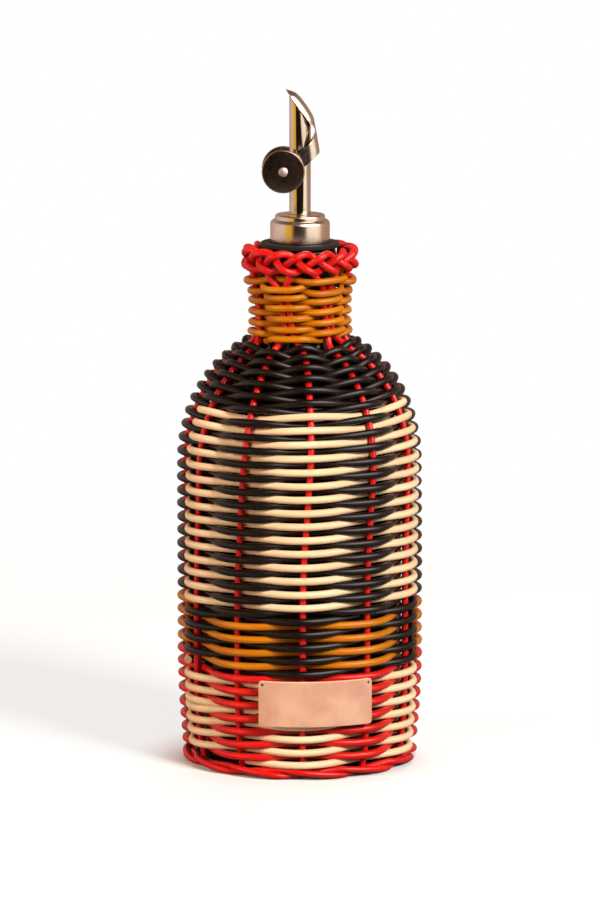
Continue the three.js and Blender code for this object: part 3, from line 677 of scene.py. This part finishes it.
metal = {"Metallic": 1.0}
polishedSteel = grainFinish("polished steel", (0.78, 0.68, 0.58), (0.7, 0.6, 0.5), scale=2500,
                            roughness=0.07, spread=0.05, bump=0.04, distance=0.00002, sockets=metal)
satinSteel = grainFinish("satin steel", (0.86, 0.74, 0.64), (0.78, 0.65, 0.54), scale=1800,
                         roughness=0.17, spread=0.1, bump=0.06, distance=0.00003, sockets=metal)
flapSteel = grainFinish("pressed steel", (0.76, 0.66, 0.56), (0.68, 0.58, 0.48), scale=1800,
                        roughness=0.19, spread=0.08, bump=0.06, distance=0.00003, sockets=metal)
weightSteel = grainFinish("turned dark steel", (0.47, 0.335, 0.265), (0.31, 0.205, 0.155), scale=1500,
                          roughness=0.14, spread=0.16, bump=0.25, distance=0.00006, sockets=metal)
rivetSteel = grainFinish("rivet steel", (0.9, 0.76, 0.73), (0.78, 0.62, 0.58), scale=1500,
                         roughness=0.42, spread=0.1, bump=0.1, distance=0.00004, sockets=metal)
stopperRubber = grainFinish("stopper rubber", (0.01, 0.009, 0.009), (0.016, 0.0145, 0.0145), scale=900,
                            roughness=0.42, spread=0.2, bump=0.2, distance=0.00008,
                            sockets={"Specular IOR Level": 0.22})
darkGlass = grainFinish("dark olive glass", (0.04, 0.032, 0.018), (0.025, 0.022, 0.012), scale=60,
                        roughness=0.12, spread=0.04, bump=0.05, distance=0.0004,
                        sockets={"Transmission Weight": 1.0, "IOR": 1.5, "Specular IOR Level": 0.25})
labelLeather = grainFinish("label leather", (0.64, 0.365, 0.25), (0.53, 0.27, 0.18), scale=700,
                           roughness=0.5, spread=0.25, bump=0.35, distance=0.00018,
                           sockets={"Sheen Weight": 0.15, "Sheen Roughness": 0.5})
# the cut edge's own lighter tone, which also serves as a painted highlight along all the label's edges
edgeToneAndHighlight = grainFinish("cut leather edge with painted highlight", (0.86, 0.62, 0.4), (0.74, 0.48, 0.3), scale=1200,
                      roughness=0.6, spread=0.2, bump=0.3, distance=0.00015, sockets={})
darkThread = grainFinish("dark waxed thread", (0.05, 0.022, 0.014), (0.03, 0.013, 0.009), scale=2500,
                         roughness=0.5, spread=0.2, bump=0.4, distance=0.0001, sockets={})
print("bottle and pourer finishes ready")


# glass bottle
bottleGlass = {
    "footRadius": 40.9,
    "heel": 4,
    "standWidth": 7,
    "punt": 6,
    "floor": 4,
    "radius": 42.8,
    "wall": 2.5,
    "shoulderZ": 128,
    "rise": 49.7,
    "shoulderEnd": 1.3,  # in neck radii
    "neckPull": 1.6,
    "neckRadius": 11.8,
    "neckWall": 2.3,
    "neckZ": 187,
    "lipRadius": 14.9,
    "lipZ": 208.5,
    "lipSlope": 2,
    "lipTopZ": 218,
    "lipEase": 1.2,
    "boreEase": 0.6,
}


def bottleWall(foot, radius, rise, neckRadius):
    g = bottleGlass
    footZ = sleeve["firstRowZ"]
    fullZ = sleeve["fullWidthZ"]
    side = bezier([(foot, footZ), (radius, (footZ + fullZ) / 2), (radius, fullZ)], 8)
    top = math.degrees(math.acos(neckRadius * g["shoulderEnd"] / radius))
    wall = arc((0, g["shoulderZ"]), (radius, rise), 0, top, 24)
    end, before = Vector(wall[-1]), Vector(wall[-2])
    toNeck = end + (end - before).normalized() * (end.x - neckRadius) * g["neckPull"]
    hollow = bezier([end, (max(toNeck.x, neckRadius), toNeck.y), (neckRadius, g["neckZ"])], 8)
    return [tuple(q) for q in side] + wall + [tuple(q) for q in hollow]


g = bottleGlass
stand = g["footRadius"] - g["heel"]
insideFoot = g["footRadius"] - g["wall"]
floorZ = g["punt"] + g["floor"]
bore = g["neckRadius"] - g["neckWall"]
insideWall = bottleWall(insideFoot, g["radius"] - g["wall"], g["rise"] - g["wall"], bore)
glassProfile = (
    arc((0, 0), (stand - g["standWidth"], g["punt"]), 90, 0, 10)
    + roundEdge(stand, g["heel"], g["heel"], -90, 0, 8)
    + bottleWall(g["footRadius"], g["radius"], g["rise"], g["neckRadius"])
    + [(g["neckRadius"], g["lipZ"] - g["lipSlope"]), (g["lipRadius"], g["lipZ"])]
    + roundEdge(g["lipRadius"] - g["lipEase"], g["lipTopZ"] - g["lipEase"], g["lipEase"], 0, 90, 6)
    + roundEdge(bore + g["boreEase"], g["lipTopZ"] - g["boreEase"], g["boreEase"], 90, 180, 4)
    + [(r, z) for r, z in insideWall[::-1] if z > floorZ + g["heel"]]
    + roundEdge(insideFoot - g["heel"], floorZ + g["heel"], g["heel"], 0, -90, 8)
    + [(0, floorZ)])
glass = turnPiece("bottle_glass", glassProfile, 96)
settle(glass, "bottle", "glass_bottle", darkGlass)
print("bottle blown")


# leather label, a grid wrapped round the front of the sleeve
label = {
    "width": 48,
    "height": 19.2,
    "thickness": 1.5,
    "corner": 1.3,
    "edge": 0.3,
    "radius": 52.4,
    "turn": math.radians(7.5),
    "bottomZ": 23.8,
    "columns": 120,
    "rows": 48,
    "wave": 0.22,
    "cutFacing": 0.9,  # faces that look outwards less than this are the cut edge
}


def labelPlace(x, z):  # x across and z up from the label's middle
    halfX, halfZ = label["width"] / 2, label["height"] / 2
    beyondX = abs(x) - (halfX - label["corner"])
    beyondZ = abs(z) - (halfZ - label["corner"])
    if beyondX > 0 and beyondZ > 0:
        shrink = max(beyondX, beyondZ) / math.hypot(beyondX, beyondZ)
        x -= math.copysign(beyondX * (1 - shrink), x)
        z -= math.copysign(beyondZ * (1 - shrink), z)
    angle = x / label["radius"] + label["turn"]
    ripple = label["wave"] * (0.5 + 0.5 * wander(x * 0.08, z * 0.09, 11))
    point = outward(angle) * (label["radius"] + ripple)
    point.z = label["bottomZ"] + halfZ + z
    return point * mm


bpy.ops.object.select_all(action="DESELECT")
bpy.ops.mesh.primitive_grid_add(x_subdivisions=label["columns"], y_subdivisions=label["rows"], size=2)
leather = bpy.context.object
leather.name = leather.data.name = "label_leather_tag"
for vertex in leather.data.vertices:
    vertex.co = labelPlace(vertex.co.x * label["width"] / 2, vertex.co.y * label["height"] / 2)
modify(leather, "SOLIDIFY", thickness=label["thickness"] * mm, offset=1)
easeEdges(leather, label["edge"], 3)
settle(leather, "bottle", "leather_label", labelLeather, 60)
leather.data.materials.append(edgeToneAndHighlight)
# faces of the cut edge take the lighter finish: raw edge tone and painted edge highlight
for face in leather.data.polygons:
    facing = face.normal.dot(outward(math.atan2(face.center.x, -face.center.y)))
    if facing < label["cutFacing"]:
        face.material_index = 1

pin = {"radius": 0.55, "height": 0.22, "sunk": 0.3, "across": 22.3, "up": 8.1}
for name, side in (("pin_left", -1), ("pin_right", 1)):
    dome = arc((0, 0), (pin["radius"], pin["height"]), 0, 90, 5)
    head = turnPiece(name, [(0, -pin["sunk"]), (pin["radius"], -pin["sunk"])] + dome, 20)
    head.rotation_euler = (math.pi / 2, 0, label["turn"] + side * pin["across"] / label["radius"])
    place = outward(head.rotation_euler.z) * (label["radius"] + label["thickness"] + label["wave"] / 2)
    place.z = label["bottomZ"] + label["height"] / 2 + pin["up"]
    head.location = place * mm
    settle(head, "bottle", None, darkThread)
print("label on")


# stopper, collar and spout stand on the bottle's lip
stopperLow, stopperHigh = sizeOf("stopper")
collarLow, collarHigh = sizeOf("collar")
tubeLow, tubeHigh = sizeOf("spout_tube")
breatherLow, breatherHigh = sizeOf("breather_tube")
pourer = {
    "lipGap": 0.3,
    "flangeRadius": stopperHigh.y,
    "flange": 2,
    "ease": 0.5,
    "channel": 4.8,
    "stem": 8.2,
    "ribs": 4,
    "firstRib": 2,
    "ribPitch": 5.6,
    "ribRadius": 9.3,
    "ribStart": 0.9,
    "ribRise": 2.2,
    "ribTip": 0.25,
    "ribBack": 0.5,
    "bossHeight": 7.2,
    "bossInset": 1.2,
    "bossEase": 1,
    "breather": (0, 6.7),
    "breatherRadius": 1.2,
    "breatherBore": 0.7,
    "breatherFit": 0.15,
    "beyond": 5,  # how far a cutting bar stands out
}
p = pourer
stemZ = stopperLow.z
seatZ = bottleGlass["lipTopZ"] + p["lipGap"]
flangeTop = seatZ + p["flange"]
flangeInset = p["flangeRadius"] - p["ease"]
bossTop = collarLow.z + p["bossHeight"]
bossRadius = collarHigh.y - p["bossInset"]
stopperProfile = [(p["channel"], stemZ), (p["stem"] - p["ease"], stemZ), (p["stem"], stemZ + p["ease"])]
for n in range(p["ribs"]):
    base = stemZ + p["firstRib"] + n * p["ribPitch"]
    crest = base + p["ribRise"]
    slope = bezier([(p["stem"], base), (p["ribRadius"], base + p["ribStart"]), (p["ribRadius"], crest)], 4)
    stopperProfile += [(p["stem"], base)] + [tuple(q) for q in slope]
    stopperProfile += roundEdge(p["ribRadius"] - p["ribTip"], crest, p["ribTip"], 0, 90, 3)
    stopperProfile += [(p["stem"], crest + p["ribBack"])]
stopperProfile += [(p["stem"], seatZ)]
stopperProfile += roundEdge(flangeInset, seatZ + p["ease"], p["ease"], -90, 0, 4)
stopperProfile += roundEdge(flangeInset, flangeTop - p["ease"], p["ease"], 0, 90, 4)
stopperProfile += [(bossRadius, flangeTop), (bossRadius, bossTop - p["bossEase"]),
                   (bossRadius - p["bossEase"], bossTop), (p["channel"], bossTop), (p["channel"], stemZ)]
stopper = turnPiece("rubber_stopper", stopperProfile)
combine(stopper, rod(p["breatherRadius"] + p["breatherFit"], stemZ - p["beyond"], bossTop + p["beyond"],
                     p["breather"]), "DIFFERENCE")
settle(stopper, "pourer", "stopper", stopperRubber)

breather = turnPiece("breather_pipe", [
    (p["breatherRadius"], breatherLow.z), (p["breatherRadius"], breatherHigh.z),
    (p["breatherBore"], breatherHigh.z), (p["breatherBore"], breatherLow.z),
    (p["breatherRadius"], breatherLow.z)], 24)
breather.location = Vector((*p["breather"], 0)) * mm
settle(breather, "pourer", "breather_tube", polishedSteel)

collar = {
    "radius": collarHigh.y,
    "foot": 0.08,
    "round": 2.0,
    "roundSweep": 78,
    "roundOver": 0.1,
    "stepRadius": 10.5,
    "stepHeight": 2.2,
    "stepFillet": 0.15,
    "stepRound": 0.9,
    "boreEase": 0.3,
    "wall": 0.9,
    "insideEase": (0.6, 0.4, 1.6),
    "ventRadius": 0.45,
    "ventDrop": 1.4,
    "ventReach": (7, 13),
}
c = collar
topZ = collarHigh.z
stepZ = topZ - c["stepHeight"]
inside = c["radius"] - c["wall"]
stepInside = c["stepRadius"] - c["wall"]
easeIn, easeDown, easeEnd = c["insideEase"]
roundZ = stepZ - c["round"] + c["roundOver"]
collarProfile = (
    roundEdge(c["radius"] - c["foot"], collarLow.z + c["foot"], c["foot"], -90, 0, 3)
    + roundEdge(c["radius"] - c["round"], roundZ, c["round"], 0, c["roundSweep"], 8)
    + [(c["stepRadius"] + c["stepFillet"], stepZ), (c["stepRadius"], stepZ + c["stepFillet"])]
    + roundEdge(c["stepRadius"] - c["stepRound"], topZ - c["stepRound"], c["stepRound"], 0, 90, 6)
    + [(p["channel"] + c["boreEase"], topZ), (p["channel"], topZ - c["boreEase"]),
       (p["channel"], topZ - c["wall"]), (stepInside, topZ - c["wall"]), (stepInside, stepZ - c["wall"]),
       (inside - easeIn, stepZ - c["wall"] - easeDown), (inside, stepZ - c["wall"] - easeEnd),
       (inside, collarLow.z), (c["radius"] - c["foot"], collarLow.z)])
collarPiece = turnPiece("steel_collar", collarProfile, 96)
vent = rod(c["ventRadius"], *c["ventReach"], (0, topZ - c["ventDrop"]), across=True)
combine(collarPiece, vent, "DIFFERENCE")
settle(collarPiece, "pourer", "collar", satinSteel, 28)

spout = {"radius": tubeHigh.y, "wall": 0.5, "cut": math.radians(54), "pinHole": 1.5, "spare": 1, "edge": 0.1}
flatSide = tubeHigh.y - tubeHigh.x  # the frame's tube has flat sides
spoutTop = tubeHigh.z + flatSide * math.tan(spout["cut"])
hinge = next(j for j in frame["record"]["behaviour"]["joints"] if j["name"] == "flap_hinge")
pivot = Vector(hinge["pos_m"]) / mm
tubeProfile = [(spout["radius"], tubeLow.z), (spout["radius"], spoutTop + spout["spare"])]
tube = turnPiece("spout_pipe", tubeProfile, 64)
bpy.ops.object.mode_set(mode="EDIT")
bpy.ops.mesh.select_all(action="SELECT")
bpy.ops.mesh.bisect(plane_co=Vector((-spout["radius"], 0, spoutTop)) * mm,
                    plane_no=(math.sin(spout["cut"]), 0, math.cos(spout["cut"])), clear_outer=True)
bpy.ops.object.mode_set(mode="OBJECT")
modify(tube, "SOLIDIFY", thickness=spout["wall"] * mm, offset=-1, use_even_offset=True)
across = 2 * spout["radius"]
combine(tube, rod(spout["pinHole"], -across, across, (0, pivot.z), across=True), "DIFFERENCE")
easeEdges(tube, spout["edge"])
settle(tube, "pourer", "spout_tube", polishedSteel, 28)
print("pourer stands in the neck")


# flap: a folded sheet with a hooded lid, a spine and two arms that carry the weights
flap = {
    "sheet": 0.8,
    "halfWidth": 5.7,
    "round": 4.7,
    "edge": 0.12,
    "tipOverhang": 2.9,
    "tipRise": 0.6,
    "hoodRise": 3.2,
    "ridgeStart": 1.8,
    "ridgeEnd": 0.75,
    "lidEdge": 0.5,
    "spine": 8.2,
    "spineFoot": 5,
    "spineWidth": 1.9,
    "armHalfWidth": 3.4,
    "pin": 1.2,
    "rivetHole": 1.5,
    "far": 22,  # well outside what the trim leaves
}
weightLow, weightHigh = sizeOf("weight_front")
rearLow, rearHigh = sizeOf("weight_rear")
rivetSpot = Vector(((weightLow.x + weightHigh.x) / 2, (weightLow.z + weightHigh.z) / 2))
armSpot = rivetSpot - Vector((pivot.x, pivot.z))
cutTop = spoutTop - pivot.z
cutLength = 2 * spout["radius"] / math.cos(spout["cut"])


def onCut(along, off):  # down the slanted cut and off it, seen from the front, from the pivot
    s, c = math.sin(spout["cut"]), math.cos(spout["cut"])
    return Vector((-spout["radius"] + along * c + off * s, cutTop - along * s + off * c))


def through(points, steps=8):  # a smooth line through all the points
    line = []
    for n in range(len(points) - 1):
        a = points[max(n - 1, 0)]
        b, c = points[n], points[n + 1]
        d = points[min(n + 2, len(points) - 1)]
        for k in range(steps):
            t = k / steps
            line.append(0.5 * ((2 * b) + (c - a) * t + (2 * a - 5 * b + 4 * c - d) * t ** 2
                               + (3 * b - a - 3 * c + d) * t ** 3))
    return line + [points[-1]]


def hoodOutline(inset):
    f = flap
    ridge = [
        onCut(-3 * f["tipOverhang"], f["tipRise"] - f["hoodRise"] - inset),
        onCut(-f["tipOverhang"], f["tipRise"] - inset),
        onCut(f["ridgeStart"], f["hoodRise"] - inset),
        onCut(cutLength * f["ridgeEnd"], f["hoodRise"] - inset),
        Vector(((spout["radius"] + f["spine"]) / 2 - inset, onCut(cutLength, 0).y)),
        Vector((f["spine"] - inset, f["spineFoot"])),
    ]
    far = f["far"]
    below = [Vector((f["spine"] - inset, -far)), Vector((-far, -far)), Vector((-far, ridge[0].y))]
    return through(ridge) + below


def flapOutline():
    f = flap
    beyond = f["spine"] + f["halfWidth"]
    lidEnd = onCut(cutLength - f["sheet"], f["lidEdge"])
    notch = Vector((f["spine"] - f["spineWidth"], (lidEnd.y + f["spineFoot"]) / 2 + f["spineWidth"]))
    points = [
        onCut(-f["tipOverhang"], f["lidEdge"]),
        onCut(-f["tipOverhang"], f["tipRise"] + f["hoodRise"]),
        onCut(cutLength * f["ridgeEnd"], 2 * f["hoodRise"]),
        Vector((beyond, f["spineFoot"] + f["armHalfWidth"])),
        Vector((beyond, f["spineFoot"])),
        Vector((f["spine"], f["spineFoot"] - f["lidEdge"])),
    ]
    points += bezier([points[-1], (f["armHalfWidth"], 0), (0, f["sheet"] - f["armHalfWidth"])], 10)
    points += [Vector(q) for q in arc(armSpot, (f["armHalfWidth"], f["armHalfWidth"]), 270, 90, 16)]
    points.append(Vector((-f["pin"], f["spineFoot"])))
    points += bezier([points[-1], (spout["radius"], f["spineFoot"] + f["spineWidth"]), notch], 10)
    points += bezier([notch, (notch.x, lidEnd.y - f["sheet"]), lidEnd], 10)
    return points


def plate(name, outline, halfWidth, edge=0.0):  # an outline seen from the front, made as wide as it is
    bpy.ops.object.select_all(action="DESELECT")
    bpy.ops.curve.primitive_nurbs_path_add(location=(0, 0, 0))
    sheet = bpy.context.object
    sheet.name = sheet.data.name = name
    sheet.data.dimensions = "2D"
    sheet.data.fill_mode = "BOTH"
    sheet.data.splines.clear()
    spline = sheet.data.splines.new("POLY")
    spline.points.add(len(outline) - 1)
    for target, point in zip(spline.points, outline):
        target.co = (point.x * mm, point.y * mm, 0, 1)
    spline.use_cyclic_u = True
    sheet.data.extrude = (halfWidth - edge) * mm
    sheet.data.bevel_depth = edge * mm
    sheet.data.bevel_resolution = 7
    sheet.data.offset = -edge * mm
    bpy.ops.object.convert(target="MESH")
    sheet.rotation_euler = (math.pi / 2, 0, 0)
    sheet.location = pivot * mm
    bpy.ops.object.transform_apply(location=True, rotation=True, scale=True)
    bpy.ops.object.mode_set(mode="EDIT")
    bpy.ops.mesh.select_all(action="SELECT")
    bpy.ops.mesh.remove_doubles(threshold=0.002 * mm)
    bpy.ops.mesh.normals_make_consistent(inside=False)
    bpy.ops.object.mode_set(mode="OBJECT")
    return sheet


f = flap
flapPiece = plate("pourer_flap", hoodOutline(0), f["halfWidth"], f["round"])
hollow = plate("hollow", hoodOutline(f["sheet"]), f["halfWidth"] - f["sheet"], f["round"] - f["sheet"])
combine(flapPiece, hollow, "DIFFERENCE")
combine(flapPiece, plate("trim", flapOutline(), 2 * f["halfWidth"]), "INTERSECT")
across = 2 * f["halfWidth"]
combine(flapPiece, rod(f["rivetHole"], -across, across, rivetSpot, across=True), "DIFFERENCE")
for side in (-1, 1):
    ends = sorted((side * (spout["radius"] - spout["wall"]), side * (f["halfWidth"] - f["sheet"] / 2)))
    combine(flapPiece, rod(f["pin"], *ends, (pivot.x, pivot.z), across=True), "UNION")
easeEdges(flapPiece, f["edge"])
settle(flapPiece, "flap", "flap", flapSteel, 30)

weight = {"radius": (weightHigh.z - weightLow.z) / 2, "bevel": 0.45, "hole": 1.5}
for nodeName, low, high in (("weight_front", weightLow, weightHigh), ("weight_rear", rearLow, rearHigh)):
    w = weight
    half = (high.y - low.y) / 2
    face = [(w["hole"], half)] + roundEdge(w["radius"] - w["bevel"], half - w["bevel"], w["bevel"], 90, 0, 5)
    disc = turnPiece("steel_" + nodeName, face + [(r, -z) for r, z in face[::-1]] + face[:1], 72)
    disc.rotation_euler = (math.pi / 2, 0, 0)
    bpy.ops.object.transform_apply(location=True, rotation=True, scale=True)
    disc.location = Vector((rivetSpot.x, (low.y + high.y) / 2, rivetSpot.y)) * mm
    settle(disc, "flap", nodeName, weightSteel, 30)

rivetLow, rivetHigh = sizeOf("weight_rivet")
rivet = {"shank": 1.2, "head": 2.0, "dome": 0.8}
reachY = (rivetHigh.y - rivetLow.y) / 2
headY = reachY - rivet["dome"]
halfRivet = [(rivet["shank"], headY)] + arc((0, headY), (rivet["head"], rivet["dome"]), 0, 90, 8)
rivetPiece = turnPiece("steel_rivet", [(r, -z) for r, z in halfRivet[::-1]] + halfRivet, 32)
rivetPiece.rotation_euler = (math.pi / 2, 0, 0)
bpy.ops.object.transform_apply(location=True, rotation=True, scale=True)
rivetPiece.location = Vector((rivetSpot.x, (rivetLow.y + rivetHigh.y) / 2, rivetSpot.y)) * mm
settle(rivetPiece, "flap", "weight_rivet", rivetSteel, 40)
print("flap hung")


# floor, light and camera
stage = {
    "floorRadius": 0.8,
    "footRadius": 0.046,  # no own light within this, so that none shines up between the canes; the glow comes back only further out, which paints a shade under and round the foot
    "paintedShadeEnd": 0.075,
    "shadowRadius": 0.2,
    "fadeEnd": 0.72,
    "ownLight": 0.62,
    "seenTone": 0.9,
    "bounce": 0.16,
    "skyLight": 0.06,
}


def seenRays(tree, *kinds):  # 1 for the camera's rays and those of these kinds
    rays = tree.nodes.new("ShaderNodeLightPath")
    seen = rays.outputs["Is Camera Ray"]
    for kind in kinds:
        either = node(tree, "ShaderNodeMath", {0: seen, 1: rays.outputs[kind]}, operation="MAXIMUM")
        seen = either.outputs[0]
    return seen


bpy.ops.object.select_all(action="DESELECT")
bpy.ops.mesh.primitive_circle_add(vertices=96, radius=stage["floorRadius"], fill_type="NGON",
                                  location=(0, 0, 0))
floor = bpy.context.object
floor.name = "floor"
floorFinish, tree, shader = newFinish("pale floor")
tone = node(tree, "ShaderNodeMapRange", {"Value": seenRays(tree, "Is Transmission Ray")})
tone.inputs["To Min"].default_value = stage["bounce"]
tone.inputs["To Max"].default_value = stage["seenTone"]
tree.links.new(tone.outputs["Result"], shader.inputs["Base Color"])
shader.inputs["Roughness"].default_value = 0.9
shader.inputs["Specular IOR Level"].default_value = 0.1
place = node(tree, "ShaderNodeTexCoord")
away = node(tree, "ShaderNodeVectorMath", {0: place.outputs["Object"]}, operation="LENGTH")
out = node(tree, "ShaderNodeMath", {0: away.outputs["Value"]}, operation="DIVIDE")
out.inputs[1].default_value = stage["floorRadius"]
# glow share 0 at the foot, rising to the near share a little way out: a painted shade round the foot; full
# glow far off
levels = {"footRadius": 0, "paintedShadeEnd": stage["ownLight"], "shadowRadius": stage["ownLight"], "fadeEnd": 1}
fadeStops = [(stage[key] / stage["floorRadius"], (level,) * 3) for key, level in levels.items()]
fade = ramp(tree, out.outputs[0], fadeStops)
fade.color_ramp.interpolation = "EASE"
share = node(tree, "ShaderNodeMath", {0: fade.outputs["Color"], 1: seenRays(tree, "Is Transmission Ray")},
             operation="MULTIPLY")
glow = node(tree, "ShaderNodeEmission", Color=(1, 1, 1, 1), Strength=1)
both = node(tree, "ShaderNodeMixShader", {"Fac": share.outputs[0], 1: shader.outputs["BSDF"],
                                          2: glow.outputs["Emission"]})
tree.links.new(both.outputs["Shader"], tree.nodes["Material Output"].inputs["Surface"])
floor.data.materials.append(floorFinish)

# the room that shows in what shines: dark in front, a gold card at its left, a lit wall at its right with
# a large soft panel high up, dim walls behind and a dim ceiling
room = {
    "walls": [
        (-180, (0.42, 0.26, 0.2)), (-140, (0.58, 0.4, 0.33)), (-100, (0.76, 0.6, 0.58)),
        (-64, (0.78, 0.63, 0.56)), (-58, (0.9, 0.55, 0.05)), (-31, (0.85, 0.5, 0.04)),
        (-27, (0.012, 0.008, 0.006)), (20, (0.02, 0.012, 0.008)), (31, (1.2, 1.08, 0.92)),
        (74, (1.25, 1.18, 1.05)), (95, (0.5, 0.36, 0.24)), (180, (0.36, 0.22, 0.18)),
    ],
    "ceiling": (0.16, 0.135, 0.125),
    "ceilingRise": (0.25, 0.8),
    "panel": (6, 5.4, 5.0),
    "panelBearing": (0, 25, 68, 90),
    "panelRise": (0.16, 0.32, 0.74, 0.92),
}


def turnShare(degrees):  # a bearing as 0 to 1, once round
    return degrees / 360 + 0.5


def between(tree, source, stops):  # 1 from the second to the third stop, 0 outside
    tones = ((0, 0, 0), (1, 1, 1), (1, 1, 1), (0, 0, 0))
    return ramp(tree, source, list(zip(stops, tones))).outputs["Color"]


world = bpy.data.worlds.new("studio")
bpy.context.scene.world = world
world.use_nodes = True
sky = world.node_tree
look = node(sky, "ShaderNodeTexCoord")
axes = node(sky, "ShaderNodeSeparateXYZ", {0: look.outputs["Generated"]})
facing = node(sky, "ShaderNodeMath", {0: axes.outputs["Y"]}, operation="MULTIPLY")
facing.inputs[1].default_value = -1
bearing = node(sky, "ShaderNodeMath", {0: axes.outputs["X"], 1: facing.outputs[0]}, operation="ARCTAN2")
onceRound = node(sky, "ShaderNodeMapRange", {"Value": bearing.outputs[0]})
onceRound.inputs["From Min"].default_value = -math.pi
onceRound.inputs["From Max"].default_value = math.pi
wallStops = [(turnShare(degrees), colour) for degrees, colour in room["walls"]]
walls = ramp(sky, onceRound.outputs["Result"], wallStops)
height = node(sky, "ShaderNodeMapRange", {"Value": axes.outputs["Z"]}, interpolation_type="SMOOTHSTEP")
height.inputs["From Min"].default_value = room["ceilingRise"][0]
height.inputs["From Max"].default_value = room["ceilingRise"][1]
ceiling = node(sky, "ShaderNodeMix", {0: height.outputs["Result"], 6: walls.outputs["Color"]},
               data_type="RGBA")
ceiling.inputs[7].default_value = (*room["ceiling"], 1)
panelStops = [turnShare(degrees) for degrees in room["panelBearing"]]
panelAcross = between(sky, onceRound.outputs["Result"], panelStops)
panelUp = between(sky, axes.outputs["Z"], room["panelRise"])
onPanel = node(sky, "ShaderNodeMath", {0: panelAcross, 1: panelUp}, operation="MULTIPLY")
mirrored = node(sky, "ShaderNodeMix", {0: onPanel.outputs[0], 6: ceiling.outputs[2]}, data_type="RGBA")
mirrored.inputs[7].default_value = (*room["panel"], 1)
rays = sky.nodes.new("ShaderNodeLightPath")
colour = node(sky, "ShaderNodeMix", {0: rays.outputs["Is Glossy Ray"], 7: mirrored.outputs[2]},
              data_type="RGBA")
colour.inputs[6].default_value = (1, 1, 1, 1)
strength = node(sky, "ShaderNodeMapRange", {"Value": seenRays(sky, "Is Glossy Ray", "Is Transmission Ray")})
strength.inputs["To Min"].default_value = stage["skyLight"]
strength.inputs["To Max"].default_value = 1
sky.links.new(strength.outputs["Result"], sky.nodes["Background"].inputs["Strength"])
sky.links.new(colour.outputs[2], sky.nodes["Background"].inputs["Color"])

lamps = {
    "key": {"place": (1.06, -1.26, 1.0), "size": 0.5, "power": 52, "tint": (1, 0.96, 0.9)},
    "fill": {"place": (-1.4, -0.8, 0.6), "size": 0.9, "power": 26, "tint": (1, 0.8, 0.64)},
    "top": {"place": (0.1, 0.6, 1.5), "size": 0.8, "power": 11, "tint": (1, 0.96, 0.94)},
}
lampAim = Vector((0, 0, 0.13))
for name, values in lamps.items():
    bpy.ops.object.light_add(type="AREA", location=values["place"])
    lamp = bpy.context.object
    lamp.name = name
    lamp.data.size = values["size"]
    lamp.data.energy = values["power"]
    lamp.data.color = values["tint"]
    lamp.visible_glossy = False  # the panel shows in its stead
    lamp.rotation_euler = (lampAim - Vector(values["place"])).to_track_quat("-Z", "Y").to_euler()

view = {"place": (0, -2.46, 0.55), "pitch": -9.65, "lens": 157.85, "sensor": 24}
bpy.ops.object.camera_add(location=view["place"], rotation=(math.radians(90 + view["pitch"]), 0, 0))
camera = bpy.context.object
camera.data.sensor_fit = "VERTICAL"
camera.data.sensor_height = view["sensor"]
camera.data.lens = view["lens"]
bpy.context.scene.camera = camera
bpy.context.scene.view_settings.view_transform = "Standard"
print("stage set")
